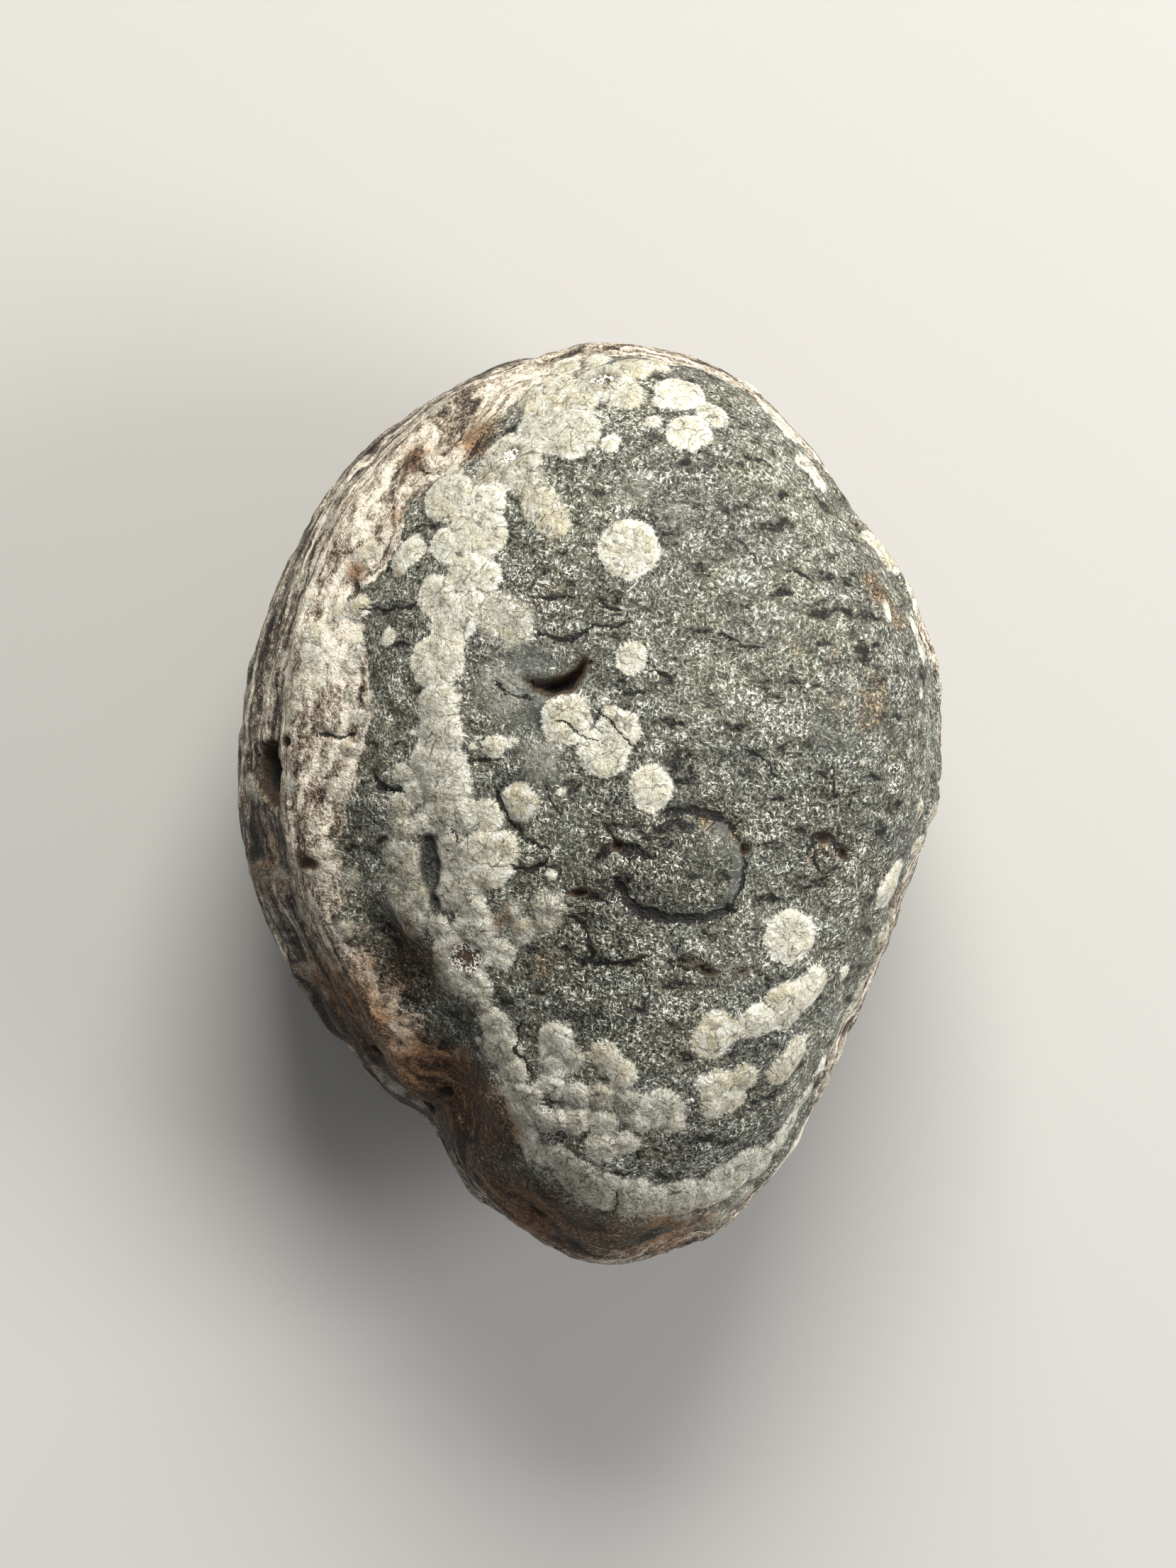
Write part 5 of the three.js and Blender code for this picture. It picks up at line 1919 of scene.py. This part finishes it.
        # painted shade: the soil's colour darkens from the wall towards the deepest part of each hollow
        dirt_and_shade = graph.mix(graph.ramp(inset, 0.02, 0.24), stains.pit_wall, stains.dirt_and_shade)
        sparkle = graph.moved(texture.strokes, (graph.ramp(inset, 0.12, 0.4), 0.0, -0.14))
        facets = graph.mix(graph.ramp(sparkle, 0.42, 0.5), stains.pit_wall, stains.crystal)
        filled = graph.mix(graph.math("GREATER_THAN", fill, 0.5), dirt_and_shade, facets)
        bare = graph.mix(0.75, glass, self.glass.bare)
        filled = graph.mix(graph.math("LESS_THAN", fill, -0.5), filled, bare)
        return graph.mix(graph.times(inside, stains.dirt_and_shade_cover), colour, filled), inside

    def _relief(self, covers: tuple[Socket, Socket, Socket]) -> Socket:
        """The stone's fine relief.

        Args:
            covers: how far the place is in a spherulite, in a crack and in a hollow.

        Returns:
            The normal.
        """
        graph, texture = self.graph, self.texture
        snow_cover, line, inside = covers
        strokes = graph.moved(self.stroke_relief, (snow_cover, 0.0, self.snow_stroke_relief))
        height = graph.moved(
            graph.times(texture.strokes, strokes),
            (snow_cover, 0.0, self.snow_relief),
            (texture.clumps, 0.0, self.clump_relief),
            (line, 0.0, self.crack_relief),
            (inside, 0.0, self.hollow_relief),
        )
        feeds = {"Height": height, "Distance": MM, "Strength": 1.0}
        return graph.add("ShaderNodeBump", feeds).outputs["Normal"]

    def material(self) -> bpy.types.Material:
        """Builds the material.

        Returns:
            The finished material.
        """
        graph, texture = self.graph, self.texture
        rust, smooth, frosted = graph.three("wear")
        # painted light and shade: the paling and the brownish soil read here are partly painted light and
        # shade
        depth, paled_lit_and_shaded, grime_and_shade = graph.three("layers")
        across, half, crescent = graph.three("crack")
        # painted highlight: the third number marks the crescent pit's lower edge, where a pale line is
        # painted
        inset, fill, edge_stain_and_highlight = graph.three("hollow")
        wiggle = self._wiggles()
        glass = self._glass(smooth, frosted)
        glass = graph.mix(graph.times(wiggle, self.snow.wiggle_depth), glass, self.glass.tones[0][1])
        sand, sand_cover = self._sand(depth, paled_lit_and_shaded)
        snow, snow_cover = self._snow(wiggle)
        colour = graph.mix(snow_cover, graph.mix(sand_cover, glass, sand), snow)
        scar = graph.ramp(crescent, -0.02, 0.08)
        colour = graph.mix(graph.times(scar, self.scar_cover), colour, self.glass.smooth)
        # painted shade: the soil laid on here is partly real and partly painted shade with a painted warm
        # reflection
        colour, thick_grime_and_shade = self._soiled_and_shaded(colour, grime_and_shade, rust)
        line = self._crack_line(across, half)
        # painted shade: the cracks' dark line, partly real soil and partly shade in the crack
        colour = graph.mix(graph.times(line, self.stains.dirt_and_shade_cover), colour, self.stains.dirt_and_shade)
        # painted shade: the hollows' dark fill deepens towards their middles
        colour, inside = self._filled(colour, glass, inset, fill)
        # painted highlight: a pale brownish line along the crescent pit's lower edge, partly stain and
        # partly the lit lip
        lit_stained_edge = graph.ramp(graph.moved(edge_stain_and_highlight, (texture.strokes, 0.5, 1.0)), 0.3, 1.2)
        colour = graph.mix(graph.times(lit_stained_edge, self.stains.edge), colour, self.stains.brown_edge_and_highlight)
        rough = graph.moved(
            self.glass.roughness,
            (snow_cover, 0.0, self.snow.roughness - self.glass.roughness),
            (scar, 0.0, self.scar_gloss),
            (thick_grime_and_shade, 0.0, self.stains.grime_and_shade_roughness),
            (graph.times(inside, graph.ramp(fill, 0.0, 1.0)), 0.0, self.crystal_gloss),
        )
        relief = self._relief((snow_cover, line, inside))
        feeds = {"Base Color": colour, "Roughness": rough, "Normal": relief}
        surface = graph.add("ShaderNodeBsdfPrincipled", {**feeds, "Specular IOR Level": self.specular})
        graph.add("ShaderNodeOutputMaterial", {"Surface": surface.outputs["BSDF"]})
        return self.made


@dataclass(frozen=True)
class Lamp:
    """One square soft light: its place and side in millimetres, its power in watts and its colour."""

    name: str
    at: Place
    size: float
    power: float
    colour: Place


@dataclass
class Studio:
    """The floor, the soft lights and the camera, which looks straight down on the stone."""

    view_height: float = 57.82
    view_centre: Point = (-0.03, 0.77)
    camera_distance: float = 400.0
    in_focus: float = 9.0
    sensor: float = 36.0
    floor_size: float = 1200.0
    floor_colour: Colour = paint(188, 186, 181)
    lamps: tuple[Lamp, ...] = (
        Lamp("key", (30.0, 270.0, 225.0), 200.0, 1.95, (1.0, 0.98, 0.94)),
        Lamp("fill", (260.0, -20.0, 150.0), 150.0, 0.75, (0.98, 0.985, 1.0)),
    )
    surround: Colour = (0.95, 0.96, 1.0, 1.0)
    surround_strength: float = 0.25

    def floor(self) -> None:
        """Lays a plain pale floor under the stone, as a grid of four corners."""
        half = self.floor_size * MM / 2
        mesh = bpy.data.meshes.new("floor")
        corners = [(-half, -half, 0.0), (half, -half, 0.0), (half, half, 0.0), (-half, half, 0.0)]
        mesh.from_pydata(corners, [], [(0, 1, 2, 3)])
        made = bpy.data.materials.new("studio_floor")
        made.use_nodes = True
        surface = made.node_tree.nodes["Principled BSDF"]
        surface.inputs["Base Color"].default_value = self.floor_colour
        surface.inputs["Roughness"].default_value = 0.9
        mesh.materials.append(made)
        floor = bpy.data.objects.new("floor", mesh)
        bpy.context.scene.collection.objects.link(floor)

    def lights(self) -> None:
        """Hangs the soft lights, turned to face the stone, in an even pale surround."""
        for lamp in self.lamps:
            data = bpy.data.lights.new(lamp.name, "AREA")
            data.size, data.energy, data.color = lamp.size * MM, lamp.power, lamp.colour
            light = bpy.data.objects.new(lamp.name, data)
            light.location = Vector(lamp.at) * MM
            light.rotation_euler = (-Vector(lamp.at)).to_track_quat("-Z", "Y").to_euler()
            bpy.context.scene.collection.objects.link(light)
        world = bpy.data.worlds.new("studio")
        world.use_nodes = True
        background = world.node_tree.nodes["Background"].inputs
        background["Color"].default_value = self.surround
        background["Strength"].default_value = self.surround_strength
        bpy.context.scene.world = world

    def film(self) -> None:
        """Develops the picture plainly, so that a colour shows as it is painted."""
        bpy.context.scene.view_settings.view_transform = "Standard"

    def camera(self) -> None:
        """Sets the camera over the stone, with the lens whose frame is as tall as the view."""
        data = bpy.data.cameras.new("camera")
        data.sensor_width = self.sensor
        data.lens = self.sensor * self.camera_distance / self.view_height
        data.clip_start, data.clip_end = 0.01, 10.0
        camera = bpy.data.objects.new("camera", data)
        camera.location = Vector((*self.view_centre, self.camera_distance + self.in_focus)) * MM
        bpy.context.scene.collection.objects.link(camera)
        bpy.context.scene.camera = camera


def main() -> None:
    """Builds the stone and its studio, and reports each piece."""
    logging.basicConfig(level=logging.INFO, format="%(name)s: %(message)s")
    body = StoneBody()
    pebble = Pebble(body, Hollows(body), Growths(body), Weathering(body)).build()
    pebble.data.materials.append(StoneFinish().material())
    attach(pebble, "root")
    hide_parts("stone")
    LOG.info("pebble: %d vertices, %d faces", len(pebble.data.vertices), len(pebble.data.polygons))
    studio = Studio()
    studio.floor()
    studio.lights()
    studio.film()
    studio.camera()


if __name__ == "__main__":
    main()
